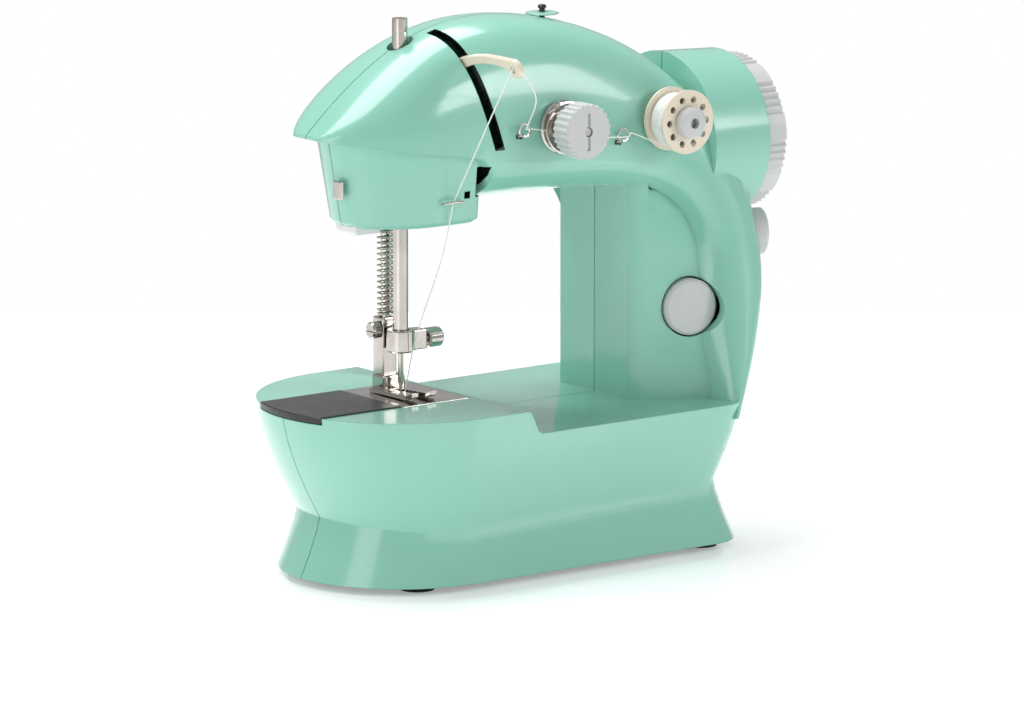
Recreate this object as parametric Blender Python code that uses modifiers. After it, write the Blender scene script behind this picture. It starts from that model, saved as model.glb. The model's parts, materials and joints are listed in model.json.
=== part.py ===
"""A mint-green mini sewing machine: two moulded shells on a base plate, with the whole drive inside.

Every size below is in millimetres and is turned into metres where a mesh is made. The world origin is
at the middle of the footprint, on the surface that the feet stand on. +X points to the handwheel, -Y to
the front and +Z up. The needle is at the bottom of its stroke.
"""

import math

import bmesh
import bpy
import numpy as np
from mathutils import Matrix, Vector
from mathutils.bvhtree import BVHTree

MM = 0.001
WALL = 2.4
SEAM = 0.15  # each shell stops this far from the parting plane y = 0

# Axes that the drive and the shells share
NEEDLE_X = -48.9
PRESSER_Y = 8.8
SHAFT_Z = 139.0

# Base
FOOT_HEIGHT = 1.5
PLATE_BOTTOM, PLATE_TOP = 1.8, 3.8
SKIRT_BOTTOM = 2.6
DECK_Z = 61.2
TABLE_Z = 52.7
RAMP_TOP_X, RAMP_FOOT_X = -30.8, -25.0
BASE_END_X = -48.9  # centre of the half ellipse at the left end
BOTTOM_PLAN = (42.4, 42.4, 70.7)  # half ellipse length, half width, right end
WAIST_PLAN = (34.3, 39.0, 64.0)
DECK_PLAN = (49.5, 49.5, 69.7)

# Arm and column, as curves in the XZ plane
NOSE = ((-89.1, 153.8), (-61.0, 181.0), (-39.5, 189.5), (-17.5, 189.5))
OUTER_ARM = ((-17.5, 189.5), (36.0, 190.0), (89.1, 156.0), (89.1, 104.0))
OUTER_COLUMN = ((89.1, 104.0), (89.1, 84.0), (78.0, 65.0), (66.4, 47.0))
FRONT_ARM = ((-17.5, 142.3), (22.0, 140.6), (71.0, 138.0), (71.0, 92.0))
FRONT_COLUMN = ((71.0, 92.0), (71.0, 76.0), (66.5, 62.0), (60.6, 47.0))
REAR_ARM = ((-17.5, 142.3), (10.0, 140.6), (46.0, 132.0), (51.0, 92.0))
REAR_COLUMN = ((51.0, 92.0), (53.0, 78.0), (56.0, 63.0), (60.0, 47.0))
KEEL_ARM = ((-17.5, 127.6), (40.0, 127.4), (62.0, 127.0), (56.0, 92.0))
KEEL_COLUMN = ((56.0, 92.0), (56.0, 78.0), (56.0, 62.0), (58.0, 47.0))
ARM_HALF_DEPTH = 27.5
DEPTH_BREAK_Z = 133.0
DEPTH_SLOPE = 0.226
NOSE_PLAN = (40.2, 26.7)
SQUARENESS = 2.7
OUTSIDE_DETAIL = {"over": 8, "under": 3, "nose": 12, "arm": 14, "column": 5, "round": 27, "level": 1}
HOLLOW_DETAIL = {"over": 5, "under": 2, "nose": 6, "arm": 8, "column": 3, "round": 15, "level": 2}
THROAT_X = 34.5
CORE_CORNER = (37.6, 22.3)
SCOOP_DEPTH = 9.0

# Head cup
CUP_TOP = (30.9, 25.4, 157.0)
CUP_BOTTOM = (24.7, 21.7, 122.4)
CUP_RIGHT_X = -31.0

# Housing and handwheel
HOUSING_RADIUS = 29.5
HOUSING_END_X = 89.0
WHEEL_RADIUS = 27.4
WHEEL_START_X, WHEEL_END_X = 89.4, 98.5

# Places on the front, in x and z
HOOK_X = -66.0
SPOOL_PIN_X = 11.6
TENSION = (-1.0, 153.0)
SPOOL = (45.0, 151.5)
GUIDE_LEFT = (-18.9, 153.0)
GUIDE_RIGHT = (23.4, 147.0)
FRONT_BUTTON = ((55.7, -26.5, 84.1), (-0.225, -0.974, 0.0), 9.9)
SIDE_BUTTON = ((88.0, -24.3, 107.0), (0.93, -0.37, 0.0), 8.2)
SLOT_MIDDLE = (-29.9, 157.5)  # x and z on the slot's middle plane, at the take-up pivot
SLOT_LEAN = Matrix.Rotation(math.radians(-17.1), 4, "Y")  # the top of the slot leans to the left
SLOT_HALF_WIDTH = 1.9
LOW_SLOT = (-34.0, -30.0)  # from and to in x
TAKE_UP_EYE = (-48.6, 22.2)  # y, and the height above the pivot along the slot
LIFTER_Y, LIFTER_Z = 19.0, 141.0
MOTOR_Z = 92.0
LOWER_SHAFT_Z = 30.0
SCREW_SPOTS = ((-8.0, 152.0), (38.0, 150.0), (-44.0, 44.0), (46.0, 42.0))
JACK_SPOTS = ((14.0, 30.0), (30.0, 30.0))
SHELL_SOLVER = "MANIFOLD"  # EXACT leaves open edges where these thin walls nearly coincide

FINISHES = {
    "mint": ((0.24, 0.66, 0.53), 0.22, 0.0),
    "dark_plastic": ((0.018, 0.018, 0.022), 0.4, 0.0),
    "rubber": ((0.02, 0.02, 0.02), 0.85, 0.0),
    "chrome": ((0.78, 0.77, 0.75), 0.16, 1.0),
    "steel": ((0.55, 0.55, 0.55), 0.35, 1.0),
    "brass": ((0.75, 0.55, 0.25), 0.35, 1.0),
    "cream": ((0.83, 0.80, 0.70), 0.32, 0.0),
    "grey": ((0.42, 0.44, 0.45), 0.38, 0.0),
    "lens": ((0.90, 0.91, 0.90), 0.25, 0.0),
}


# ---------------------------------------------------------------- tools


def clear_scene():
    for obj in list(bpy.data.objects):
        bpy.data.objects.remove(obj, do_unlink=True)


def new_collection(name):
    made = bpy.data.collections.new(name)
    bpy.context.scene.collection.children.link(made)
    return made


def metres(point):
    return Vector(point) * MM


def painted(obj, finish):
    colour, roughness, metallic = FINISHES[finish]
    made = bpy.data.materials.new(obj.name + "_finish")
    made.use_nodes = True
    shader = made.node_tree.nodes["Principled BSDF"]
    shader.inputs["Base Color"].default_value = (*colour, 1.0)
    shader.inputs["Roughness"].default_value = roughness
    shader.inputs["Metallic"].default_value = metallic
    obj.data.materials.clear()
    obj.data.materials.append(made)


def part(name, data, finish, at=(0, 0, 0), turn=None):
    """A finished piece. at is its origin in millimetres, and turn the matrix that aims it."""
    obj = bpy.data.objects.new(name, data)
    parts.objects.link(obj)
    obj.matrix_world = Matrix.Translation(metres(at)) @ (turn or Matrix.Identity(4))
    painted(obj, finish)
    return obj


def cutter(name, data, at=(0, 0, 0), turn=None):
    """A helper that a Boolean reads, and that is no piece of the machine."""
    obj = bpy.data.objects.new(name, data)
    cutters.objects.link(obj)
    obj.matrix_world = Matrix.Translation(metres(at)) @ (turn or Matrix.Identity(4))
    obj.hide_render = True
    obj.display_type = "WIRE"
    return obj


def combine(obj, operation, *others, solver="EXACT"):
    for other in others:
        modifier = obj.modifiers.new(operation.lower() + "_" + other.name, "BOOLEAN")
        modifier.operation = operation
        modifier.solver = solver
        modifier.object = other


def shaded(mesh, angle=32):
    mesh.shade_smooth()
    mesh.set_sharp_from_angle(angle=math.radians(angle))
    return mesh


def mesh_of(bm, name):
    bmesh.ops.recalc_face_normals(bm, faces=bm.faces)
    mesh = bpy.data.meshes.new(name)
    bm.to_mesh(mesh)
    bm.free()
    return shaded(mesh)


def aim(axis):
    """The turn that takes local +Z to the given direction."""
    return Vector(axis).to_track_quat("Z", "Y").to_matrix().to_4x4()


ALONG_X = aim((1, 0, 0))
FORWARD = aim((0, -1, 0))
BACKWARD = aim((0, 1, 0))
UPRIGHT = Matrix.Rotation(math.pi / 2, 4, "X")  # local XY becomes world XZ


def box_mesh(name, low, high, bevel=0.0):
    """A box between two corners, in millimetres, with its edges rounded if asked."""
    bm = bmesh.new()
    size = [(b - a) * MM for a, b in zip(low, high)]
    middle = [(a + b) * 0.5 * MM for a, b in zip(low, high)]
    bmesh.ops.create_cube(bm, size=1.0, matrix=Matrix.Translation(middle) @ Matrix.Diagonal((*size, 1.0)))
    if bevel:
        bmesh.ops.bevel(bm, geom=bm.edges[:], offset=bevel * MM, segments=2, profile=0.5, affect="EDGES")
    return mesh_of(bm, name)


def rod_mesh(name, radius, low, high, sides=24, top_radius=None):
    """A cylinder or cone about local Z between two heights."""
    bm = bmesh.new()
    bmesh.ops.create_cone(
        bm,
        cap_ends=True,
        segments=sides,
        radius1=radius * MM,
        radius2=(radius if top_radius is None else top_radius) * MM,
        depth=(high - low) * MM,
        matrix=Matrix.Translation((0, 0, (low + high) * 0.5 * MM)),
    )
    return mesh_of(bm, name)


def turned(name, profile, finish, at, turn, steps=32):
    """A turned piece. profile holds (radius, height), down the outer side, and back up a bore."""
    bm = bmesh.new()
    points = [bm.verts.new((r * MM, 0, h * MM)) for r, h in profile]
    for a, b in zip(points, points[1:]):
        bm.edges.new((a, b))
    if profile[0][0] > 0:
        bm.edges.new((points[-1], points[0]))
    mesh = bpy.data.meshes.new(name)
    bm.to_mesh(mesh)
    bm.free()
    obj = part(name, mesh, finish, at, turn)
    screw = obj.modifiers.new("turn", "SCREW")
    screw.steps = screw.render_steps = steps
    screw.use_merge_vertices = True
    screw.merge_threshold = 0.00001
    screw.use_smooth_shade = True
    return obj


def baked(obj):
    """The evaluated mesh of an object, welded, in place of its curve or its modifiers."""
    bpy.context.view_layer.update()
    graph = bpy.context.evaluated_depsgraph_get()
    mesh = bpy.data.meshes.new_from_object(obj.evaluated_get(graph))
    bm = bmesh.new()
    bm.from_mesh(mesh)
    bmesh.ops.remove_doubles(bm, verts=bm.verts, dist=0.000002)
    bmesh.ops.recalc_face_normals(bm, faces=bm.faces)
    bm.to_mesh(mesh)
    bm.free()
    mesh.name = obj.name
    return shaded(mesh)


def tube_mesh(name, points, radius, resolution=2, closed=False):
    """A round wire through the points, in millimetres, with closed ends."""
    curve = bpy.data.curves.new(name, "CURVE")
    curve.dimensions = "3D"
    curve.bevel_depth = radius * MM
    curve.bevel_resolution = resolution
    curve.use_fill_caps = not closed
    spline = curve.splines.new("POLY")
    spline.points.add(len(points) - 1)
    spline.use_cyclic_u = closed
    for knot, point in zip(spline.points, points):
        knot.co = (*metres(point), 1.0)
    obj = bpy.data.objects.new(name + "_wire", curve)
    bpy.context.scene.collection.objects.link(obj)
    mesh = baked(obj)
    bpy.data.objects.remove(obj)
    bpy.data.curves.remove(curve)
    return mesh


def plate_mesh(name, outline, thickness, bevel=0.0):
    """A flat outline in local XY, in millimetres, centred on local Z."""
    curve = bpy.data.curves.new(name, "CURVE")
    curve.dimensions = "2D"
    curve.fill_mode = "BOTH"
    curve.extrude = (thickness * 0.5 - bevel) * MM
    curve.bevel_depth = bevel * MM
    curve.bevel_resolution = 0
    curve.offset = -bevel * MM
    spline = curve.splines.new("POLY")
    spline.points.add(len(outline) - 1)
    spline.use_cyclic_u = True
    for knot, point in zip(spline.points, outline):
        knot.co = (point[0] * MM, point[1] * MM, 0.0, 1.0)
    obj = bpy.data.objects.new(name + "_outline", curve)
    bpy.context.scene.collection.objects.link(obj)
    mesh = baked(obj)
    bpy.data.objects.remove(obj)
    bpy.data.curves.remove(curve)
    return mesh


def arc(centre, radius, start, end, count):
    """Points of an arc in a plane, angles in degrees."""
    angles = np.radians(np.linspace(start, end, count))
    return [(centre[0] + radius * math.cos(a), centre[1] + radius * math.sin(a)) for a in angles]


def bezier(handles, t):
    p = np.array(handles, float)
    weights = ((1 - t) ** 3, 3 * t * (1 - t) ** 2, 3 * t * t * (1 - t), t**3)
    return sum(w * q for w, q in zip(weights, p))


def loft_mesh(name, rings):
    """A closed skin over rings of the same number of points, in millimetres, with flat ends."""
    bm = bmesh.new()
    rows = [[bm.verts.new(metres(point)) for point in ring] for ring in rings]
    for below, above in zip(rows, rows[1:]):
        for i in range(len(below)):
            j = (i + 1) % len(below)
            bm.faces.new((below[i], below[j], above[j], above[i]))
    ends = [bm.faces.new(rows[0]), bm.faces.new(rows[-1])]
    bmesh.ops.triangulate(bm, faces=ends)
    bmesh.ops.remove_doubles(bm, verts=bm.verts, dist=0.000001)
    return mesh_of(bm, name)


# ---------------------------------------------------------------- shells


def detail_for(inset):
    return HOLLOW_DETAIL if inset else OUTSIDE_DETAIL


def half_depth(z):
    return ARM_HALF_DEPTH + DEPTH_SLOPE * max(0.0, DEPTH_BREAK_Z - z)


def arm_ring(front, front_y, ridge, rear, rear_y, keel, inset):
    """One section of the head, arm or column: over the ridge, then back under by the keel."""
    front, ridge, rear, keel = (np.array(p, float) for p in (front, ridge, rear, keel))
    up_front = (ridge - front) / np.linalg.norm(ridge - front)
    up_rear = (ridge - rear) / np.linalg.norm(ridge - rear)
    up_keel = (ridge - keel) / np.linalg.norm(ridge - keel)
    top = ridge - up_keel * inset
    low_front, low_rear, low = front + up_front * inset, rear + up_rear * inset, keel + up_keel * inset
    front_y, rear_y = front_y - inset, rear_y - inset
    power = 2 / SQUARENESS
    detail = detail_for(inset)
    over = np.radians(np.linspace(0, 90, detail["over"] + 1))
    under = np.radians(np.linspace(0, 90, detail["under"] + 1))
    ring = []
    for a in over:
        side, rise = math.cos(a) ** power, math.sin(a) ** power
        x, z = low_front + (top - low_front) * rise
        ring.append((x, -front_y * side, z))
    for a in over[-2::-1]:
        side, rise = math.cos(a) ** power, math.sin(a) ** power
        x, z = low_rear + (top - low_rear) * rise
        ring.append((x, rear_y * side, z))
    for a in under[-2::-1]:
        x, z = low_rear + (low - low_rear) * math.cos(a)
        ring.append((x, rear_y * math.sin(a), z))
    for a in under[1:-1]:
        x, z = low_front + (low - low_front) * math.cos(a)
        ring.append((x, -front_y * math.sin(a), z))
    return ring


def head_edge_z(x):
    """Height of the hood's lower edge, which drops slowly towards the arm."""
    return NOSE[0][1] - 0.1602 * (x - NOSE[0][0])


def nose_rings(inset):
    rings = []
    start = 0.012 + inset * 0.030
    for t in np.linspace(math.sqrt(start), 1, detail_for(inset)["nose"] + 1) ** 2:
        ridge = bezier(NOSE, t)
        reach = min(1.0, max(0.0, (BASE_END_X - ridge[0]) / NOSE_PLAN[0]))
        depth = NOSE_PLAN[1] * math.sqrt(max(1 - reach**2, 0.0))
        if ridge[0] > BASE_END_X:
            depth += (ARM_HALF_DEPTH - NOSE_PLAN[1]) * (ridge[0] - BASE_END_X) / (NOSE[3][0] - BASE_END_X)
        edge = (ridge[0], head_edge_z(ridge[0]))
        blend = min(1.0, max(0.0, (ridge[0] + 33.5) / 3.5))
        keel = (ridge[0], edge[1] + (KEEL_ARM[0][1] - edge[1]) * blend)
        rings.append(arm_ring(edge, depth, ridge, edge, depth, keel, inset))
    return rings


def column_rings(inset):
    rings = []
    for outer, front, rear, keel, count in (
        (OUTER_ARM, FRONT_ARM, REAR_ARM, KEEL_ARM, detail_for(inset)["arm"]),
        (OUTER_COLUMN, FRONT_COLUMN, REAR_COLUMN, KEEL_COLUMN, detail_for(inset)["column"]),
    ):
        for t in np.linspace(0, 1, count + 1)[1:]:
            edge, back = bezier(front, t), bezier(rear, t)
            rings.append(
                arm_ring(
                    edge, half_depth(edge[1]), bezier(outer,
                        t), back, half_depth(back[1]), bezier(keel, t), inset
                )
            )
    return rings


def edge_x(arm, column, z):
    """Where a column edge stands at a height."""
    path = [bezier(arm, t) for t in np.linspace(0, 1, 40)] + [bezier(column, t) for t in np.linspace(0,
        1, 20)]
    path = np.array(path[::-1])
    return float(np.interp(z, path[:, 1], path[:, 0]))


def core_ring(z, inset):
    """A level section of the column between the slabs, with the scoops at its front and back."""
    corner_x, corner_y = CORE_CORNER
    deep = half_depth(z) - SCOOP_DEPTH - inset
    front = edge_x(FRONT_ARM, FRONT_COLUMN, z)
    rear = edge_x(REAR_ARM, REAR_COLUMN, z)
    half = [
        (THROAT_X + inset, 0.0),
        (THROAT_X + 0.6 + inset, 8.0),
        (corner_x - 3.2 + inset, corner_y - 3.0 - inset),
        (corner_x - 1.0 + inset, corner_y - 0.8 - inset),
        (corner_x + 2.6 + inset, corner_y + 0.6 - inset),
    ]
    points = [(x, -y) for x, y in half]
    points += [(front - 1.5 - inset, -deep), (front + 3.5, -deep), (front + 3.5, deep)]
    points += [(max(rear - 1.5, corner_x + 9.0) - inset, deep)]
    points += half[:0:-1]
    return [(x, y, z) for x, y in points]


def core_mesh(name, inset):
    return loft_mesh(name, [core_ring(z, inset) for z in (46.0, 60.0, 76.0, 90.0, 104.0, 118.0, 133.0)])


def base_ring(z, plan, inset, crease=0.0):
    """A level outline of the base: half an ellipse at the left, rounded corners at the right."""
    length, half_width, end = plan
    length, half_width, end = length - inset, half_width - inset, end - inset
    points = []
    for a in np.radians(np.linspace(90, 270, detail_for(inset)["round"])):
        points.append((BASE_END_X + length * math.cos(a), half_width * math.sin(a)))
    radius = 14.0 - inset
    for side, first in ((-1, -90), (1, 0)):
        centre = (end - radius, side * (half_width - radius))
        points += arc(centre, radius, first, first + 90, 6)
    span = end - (BASE_END_X - length)
    ring = []
    for x, y in points:
        along = (x - (BASE_END_X - length)) / span
        smile = crease * (1 - math.sin(math.pi * min(1.0, 0.12 + 0.82 * along)))
        ring.append((x, y, z + smile))
    return ring


def between(a, b, f):
    return tuple(p + (q - p) * f for p, q in zip(a, b))


def base_mesh(name, inset, bottom, top):
    waist, smile = 18.0, 8.0
    rings = [base_ring(bottom, BOTTOM_PLAN, inset)]
    for f in (0.45, 0.8):
        plan = between(BOTTOM_PLAN, WAIST_PLAN, 1 - (1 - f) ** 1.25)
        rings.append(base_ring(SKIRT_BOTTOM + (waist - SKIRT_BOTTOM) * f, plan, inset, smile * f))
    rings.append(base_ring(waist, WAIST_PLAN, inset, smile))
    for f in (0.12, 0.3, 0.5, 0.72, 0.9):
        plan = between(WAIST_PLAN, DECK_PLAN, 1 - (1 - f) ** 1.5)
        rings.append(base_ring(waist + (DECK_Z - waist) * f, plan, inset, smile * (1 - f)))
    rings.append(base_ring(top, DECK_PLAN, inset))
    return loft_mesh(name, rings)


def table_cutter(name, drop):
    """What is taken off the base over the lower table, with a rounded ramp up to the deck."""
    low, high = TABLE_Z - drop, DECK_Z + 20.0
    left = RAMP_TOP_X - drop
    outline = [(left - 0.6, high), (left - 0.6, DECK_Z + 0.02)]
    outline += [(left + 0.7, DECK_Z - 0.7), (RAMP_FOOT_X - drop - 1.6, low + 1.0)]
    outline += [(RAMP_FOOT_X - drop + 0.4, low), (130.0, low), (130.0, high)]
    mesh = plate_mesh(name, outline, 140.0)
    return cutter(name, mesh, turn=UPRIGHT)


def cup_ring(plan, z, right, inset=0.0):
    length, half_width = plan[0] - inset, plan[1] - inset
    ring = []
    for a in np.radians(np.linspace(90, 270, detail_for(inset)["round"])):
        ring.append((BASE_END_X + length * math.cos(a), half_width * math.sin(a), z))
    fillet = 3.0
    for side, first in ((-1, -90), (1, 0)):
        centre = (right - inset - fillet, side * (half_width - fillet))
        ring += [(x, y, z) for x, y in arc(centre, fillet, first, first + 90, 4)]
    return ring


def cup_mesh(name, inset, top):
    bottom = CUP_BOTTOM[2] + inset
    soft = (CUP_BOTTOM[0] - 1.2, CUP_BOTTOM[1] - 1.2)
    low = (CUP_BOTTOM[0] + 0.2, CUP_BOTTOM[1] + 0.2)
    rings = [cup_ring(soft, bottom, CUP_RIGHT_X - 1.2, inset),
        cup_ring(low, bottom + 1.3, CUP_RIGHT_X, inset)]
    rings.append(cup_ring(CUP_TOP, top, CUP_RIGHT_X, inset))
    return loft_mesh(name, rings)


def x_rod(name, radius, low, high, y=0.0, z=SHAFT_Z, sides=24, top_radius=None):
    return cutter(name, rod_mesh(name, radius, low, high, sides, top_radius), (0, y, z), ALONG_X)


def z_rod(name, radius, low, high, x, y=0.0, sides=20):
    return cutter(name, rod_mesh(name, radius, low, high, sides), (x, y, 0))


def block(name, low, high, bevel=0.0):
    return cutter(name, box_mesh(name, low, high, bevel))


def outer_form():
    return loft_mesh("body_form", nose_rings(0.0) + column_rings(0.0))


class Skin:
    """Finds where a straight line first meets the outside of the head, arm and column."""

    def __init__(self):
        bm = bmesh.new()
        mesh = outer_form()
        bm.from_mesh(mesh)
        self.tree = BVHTree.FromBMesh(bm)
        bm.free()
        bpy.data.meshes.remove(mesh)

    def hit(self, start, direction):
        place, normal, _, _ = self.tree.ray_cast(metres(start), Vector(direction))
        return place / MM, normal


def shell(name, side, skin):
    """One moulded half: side -1 is the front and +1 the rear."""
    body = part(name, outer_form(), "mint")
    base = cutter(name + "_base", base_mesh(name + "_base", 0.0, SKIRT_BOTTOM, DECK_Z))
    combine(base, "DIFFERENCE", table_cutter(name + "_table", 0.0), solver=SHELL_SOLVER)
    core = cutter(name + "_core", core_mesh(name + "_core", 0.0))
    cup = cutter(name + "_cup", cup_mesh(name + "_cup", 0.0, CUP_TOP[2]))
    housing = x_rod(name + "_housing", HOUSING_RADIUS + 1.2, 64.0, HOUSING_END_X, sides=56,
        top_radius=HOUSING_RADIUS)
    combine(body, "UNION", core, base, cup, housing, solver=SHELL_SOLVER)

    hollow = cutter(name + "_hollow", loft_mesh(name + "_hollow", nose_rings(WALL) + column_rings(WALL)))
    base_hollow = cutter(name + "_base_hollow", base_mesh(name + "_base_hollow", WALL, -1.0, DECK_Z - 3.4))
    combine(base_hollow, "DIFFERENCE", table_cutter(name + "_under_table", WALL), solver=SHELL_SOLVER)
    core_hollow = cutter(name + "_core_hollow", core_mesh(name + "_core_hollow", WALL))
    cup_hollow = cutter(name + "_cup_hollow", cup_mesh(name + "_cup_hollow", WALL, CUP_TOP[2] + 2.0))
    bore = x_rod(name + "_bore", HOUSING_RADIUS - WALL, 69.0, HOUSING_END_X - WALL, sides=40)
    combine(body, "DIFFERENCE", hollow, core_hollow, base_hollow, cup_hollow, bore, solver=SHELL_SOLVER)

    openings = [
        z_rod(name + "_needle_top", 4.5, 170.0, 200.0, NEEDLE_X),
        z_rod(name + "_needle_floor", 3.4, 116.0, 130.0, NEEDLE_X),
        x_rod(name + "_shaft_hole", 4.6, 80.0, 95.0),
        z_rod(name + "_hook_hole", 12.0, 54.0, 66.0, HOOK_X, sides=28),
        block(name + "_feed_hole", (-57.0, -13.0, 54.0), (-36.0, 13.0, 66.0)),
        block(name + "_plate_seat", (-61.3, -18.3, 59.4), (-32.7, 18.3, 66.0)),
        block(name + "_cover_seat", (-110.0, -17.9, 59.1), (-61.2, 17.9, 66.0)),
        z_rod(name + "_pin_hole", 2.0, 180.0, 196.0, SPOOL_PIN_X),
        block(name + "_drive_passage", (-36.0, -12.5, 132.0), (-22.0, 12.5, 151.5)),
        block(name + "_column_passage", (46.0, -19.2, 116.0), (58.0, 19.2, 130.0)),
        block(name + "_lens_hole", (-72.3, -6.3, 116.0), (-60.7, 6.3, 130.0)),
    ]
    if side < 0:
        openings += front_openings(name, skin)
    else:
        openings += rear_openings(name, skin)
    combine(body, "DIFFERENCE", *openings, solver=SHELL_SOLVER)
    low, high = (-80.0, -SEAM) if side < 0 else (SEAM, 80.0)
    combine(body, "INTERSECT", block(name + "_half", (-120.0, low, -5.0), (120.0, high, 210.0)),
        solver=SHELL_SOLVER)
    return body


def aimed_rod(name, radius, low, high, at, axis, sides=28):
    return cutter(name, rod_mesh(name, radius, low, high, sides), at, aim(axis))


def front_openings(name, skin):
    slot = box_mesh(name + "_slot_high", (-SLOT_HALF_WIDTH, -60.0, -9.9), (SLOT_HALF_WIDTH, -4.0, 31.0))
    made = [
        block(name + "_cup_window", (-38.7, -30.0, 131.3), (-36.3, -19.0, 133.7)),
        cutter(name + "_slot_high", slot, (SLOT_MIDDLE[0], 0.0, SLOT_MIDDLE[1]), SLOT_LEAN),
        block(name + "_slot_low", (LOW_SLOT[0], -60.0, 131.5), (LOW_SLOT[1], -6.3, 141.7)),
    ]
    for label, (place, axis, radius) in (("front", FRONT_BUTTON), ("side", SIDE_BUTTON)):
        made.append(aimed_rod(name + "_" + label + "_hole", radius + 0.6, -9.0, 9.0, place, axis))
    for label, (x, z) in (("tension", TENSION), ("spool", SPOOL)):
        face = skin.hit((x, -90, z), (0, 1, 0))[0]
        made.append(aimed_rod(name + "_" + label + "_hole", 1.8, -6.0, 8.0, face, (0, -1, 0), 16))
    return made


def rear_wall(x, z, skin):
    """How far back the rear shell reaches, on the arm or on the base."""
    if z > TABLE_Z:
        return skin.hit((x, 90, z), (0, -1, 0))[0].y
    rise = (z - 18.0) / (DECK_Z - 18.0)
    return between(WAIST_PLAN, DECK_PLAN, 1 - (1 - rise) ** 1.5)[1]


def rear_openings(name, skin):
    made = [z_rod(name + "_presser_floor", 3.1, 116.0, 130.0, NEEDLE_X, PRESSER_Y)]
    made.append(block(name + "_lifter_slot", (-52.4, 12.0, 133.0), (-45.4, 60.0, 153.0)))
    for i, (x, z) in enumerate(SCREW_SPOTS):
        wall = rear_wall(x, z, skin)
        made.append(aimed_rod(f"{name}_head_hole_{i}", 3.3, -1.3, 12.0, (x, wall, z), (0, 1, 0), 20))
        made.append(aimed_rod(f"{name}_screw_hole_{i}", 1.7, -8.0, 2.0, (x, wall, z), (0, 1, 0), 16))
    for i, (x, z) in enumerate(JACK_SPOTS):
        made.append(aimed_rod(f"{name}_jack_hole_{i}", 5.0, -9.0, 12.0, (x, rear_wall(x, z, skin), z),
            (0, 1, 0)))
    return made


# ---------------------------------------------------------------- base and table


def base_plate():
    plan = between(BOTTOM_PLAN, WAIST_PLAN, 0.14)
    outline = [(x, y) for x, y, _ in base_ring(0, plan, WALL + 0.9)]
    plate = part("base_plate", plate_mesh("base_plate", outline, PLATE_TOP - PLATE_BOTTOM), "dark_plastic",
                 (0, 0, (PLATE_TOP + PLATE_BOTTOM) / 2))
    window = block("battery_window", (-45.0, -28.0, 0.0), (22.0, 28.0, 6.0))
    combine(plate, "DIFFERENCE", window)
    part("battery_cover", box_mesh("battery_cover", (-44.6, -27.6, PLATE_BOTTOM), (21.6, 27.6,
        PLATE_TOP), 0.3),
         "dark_plastic")
    for i, (x, y) in enumerate(((-62.0, -27.0), (-62.0, 27.0), (58.0, -30.0), (58.0, 30.0))):
        foot = rod_mesh("foot", 6.0, 0.0, FOOT_HEIGHT, 24, 5.4)
        part(f"rubber_foot_{i + 1}", foot, "rubber", (x, y, 0))


def needle_plate():
    bm_low, bm_high = (-61.0, -18.0, 59.7), (-33.0, 18.0, DECK_Z + 0.1)
    plate = part("needle_plate", box_mesh("needle_plate", bm_low, bm_high, 0.35), "chrome")
    slots = [block("needle_slot", (NEEDLE_X - 1.3, -2.2, 58.0), (NEEDLE_X + 1.3, 2.6, 64.0))]
    for i, x in enumerate((-54.2, -46.2)):
        slots.append(block(f"feed_slot_{i}", (x, -9.0, 58.0), (x + 2.8, 7.5, 64.0)))
    combine(plate, "DIFFERENCE", *slots)


def feed_dog():
    dog = part("feed_dog", box_mesh("feed_dog", (-55.0, -8.4, 57.6), (-42.6, 6.0, 59.2)), "steel",
        (0, 0, 0))
    rows = []
    for i, x in enumerate((-53.7, -45.7)):
        for j in range(5):
            y = -8.0 + j * 2.4
            rows.append(block(f"feed_row_{i}_{j}", (x, y, 58.4), (x + 1.8, y + 1.7, DECK_Z + 0.15)))
        rows.append(block(f"feed_rail_{i}", (x, -8.0, 58.3), (x + 1.8, 3.3, DECK_Z - 0.6)))
    combine(dog, "UNION", *rows)
    combine(dog, "DIFFERENCE", block("feed_needle_gap", (NEEDLE_X - 1.6, -5.0, 56.0), (NEEDLE_X + 1.6,
        3.0, 64.0)))


def bobbin_cover():
    length, half_width = DECK_PLAN[0], DECK_PLAN[1]
    outline = [(-61.7, -17.6)]
    for y in np.linspace(-17.6, 17.6, 13):
        outline.append((BASE_END_X - length * math.sqrt(1 - (y / half_width) ** 2), y))
    outline.append((-61.7, 17.6))
    outline = outline[::-1]
    part("bobbin_cover", plate_mesh("bobbin_cover", outline, 2.3, 0.3), "dark_plastic", (0, 0, 60.55))


def rotary_hook():
    """The bobbin case with its spindle and bevel wheel, open at the top."""
    profile = [(0, 47.0), (11.4, 47.0), (11.4, 56.4), (13.0, 57.2), (14.4, 56.6), (14.4, 52.0),
        (12.8, 50.5)]
    profile += [(12.8, 45.6), (3.0, 44.6), (2.4, 43.6), (2.4, 41.0), (7.0, 38.6), (7.0, 37.4),
        (2.0, 37.0), (2.0, 26.0)]
    profile += [(0, 26.0)]
    turned("rotary_hook", profile, "steel", (HOOK_X, 0, 0), None, 20)
    turned("lower_bobbin", bobbin_profile(10.2, 9.0, 47.3), "cream", (HOOK_X, 0, 0), None, 20)


def bobbin_profile(radius, width, low):
    """A spool with a bored hub, from its top flange down."""
    top = low + width
    return [(3.0, top), (radius, top), (radius, top - 0.9), (5.0, top - 1.1), (5.0, low + 1.1),
            (radius, low + 0.9), (radius, low), (3.0, low)]


# ---------------------------------------------------------------- drive


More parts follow.
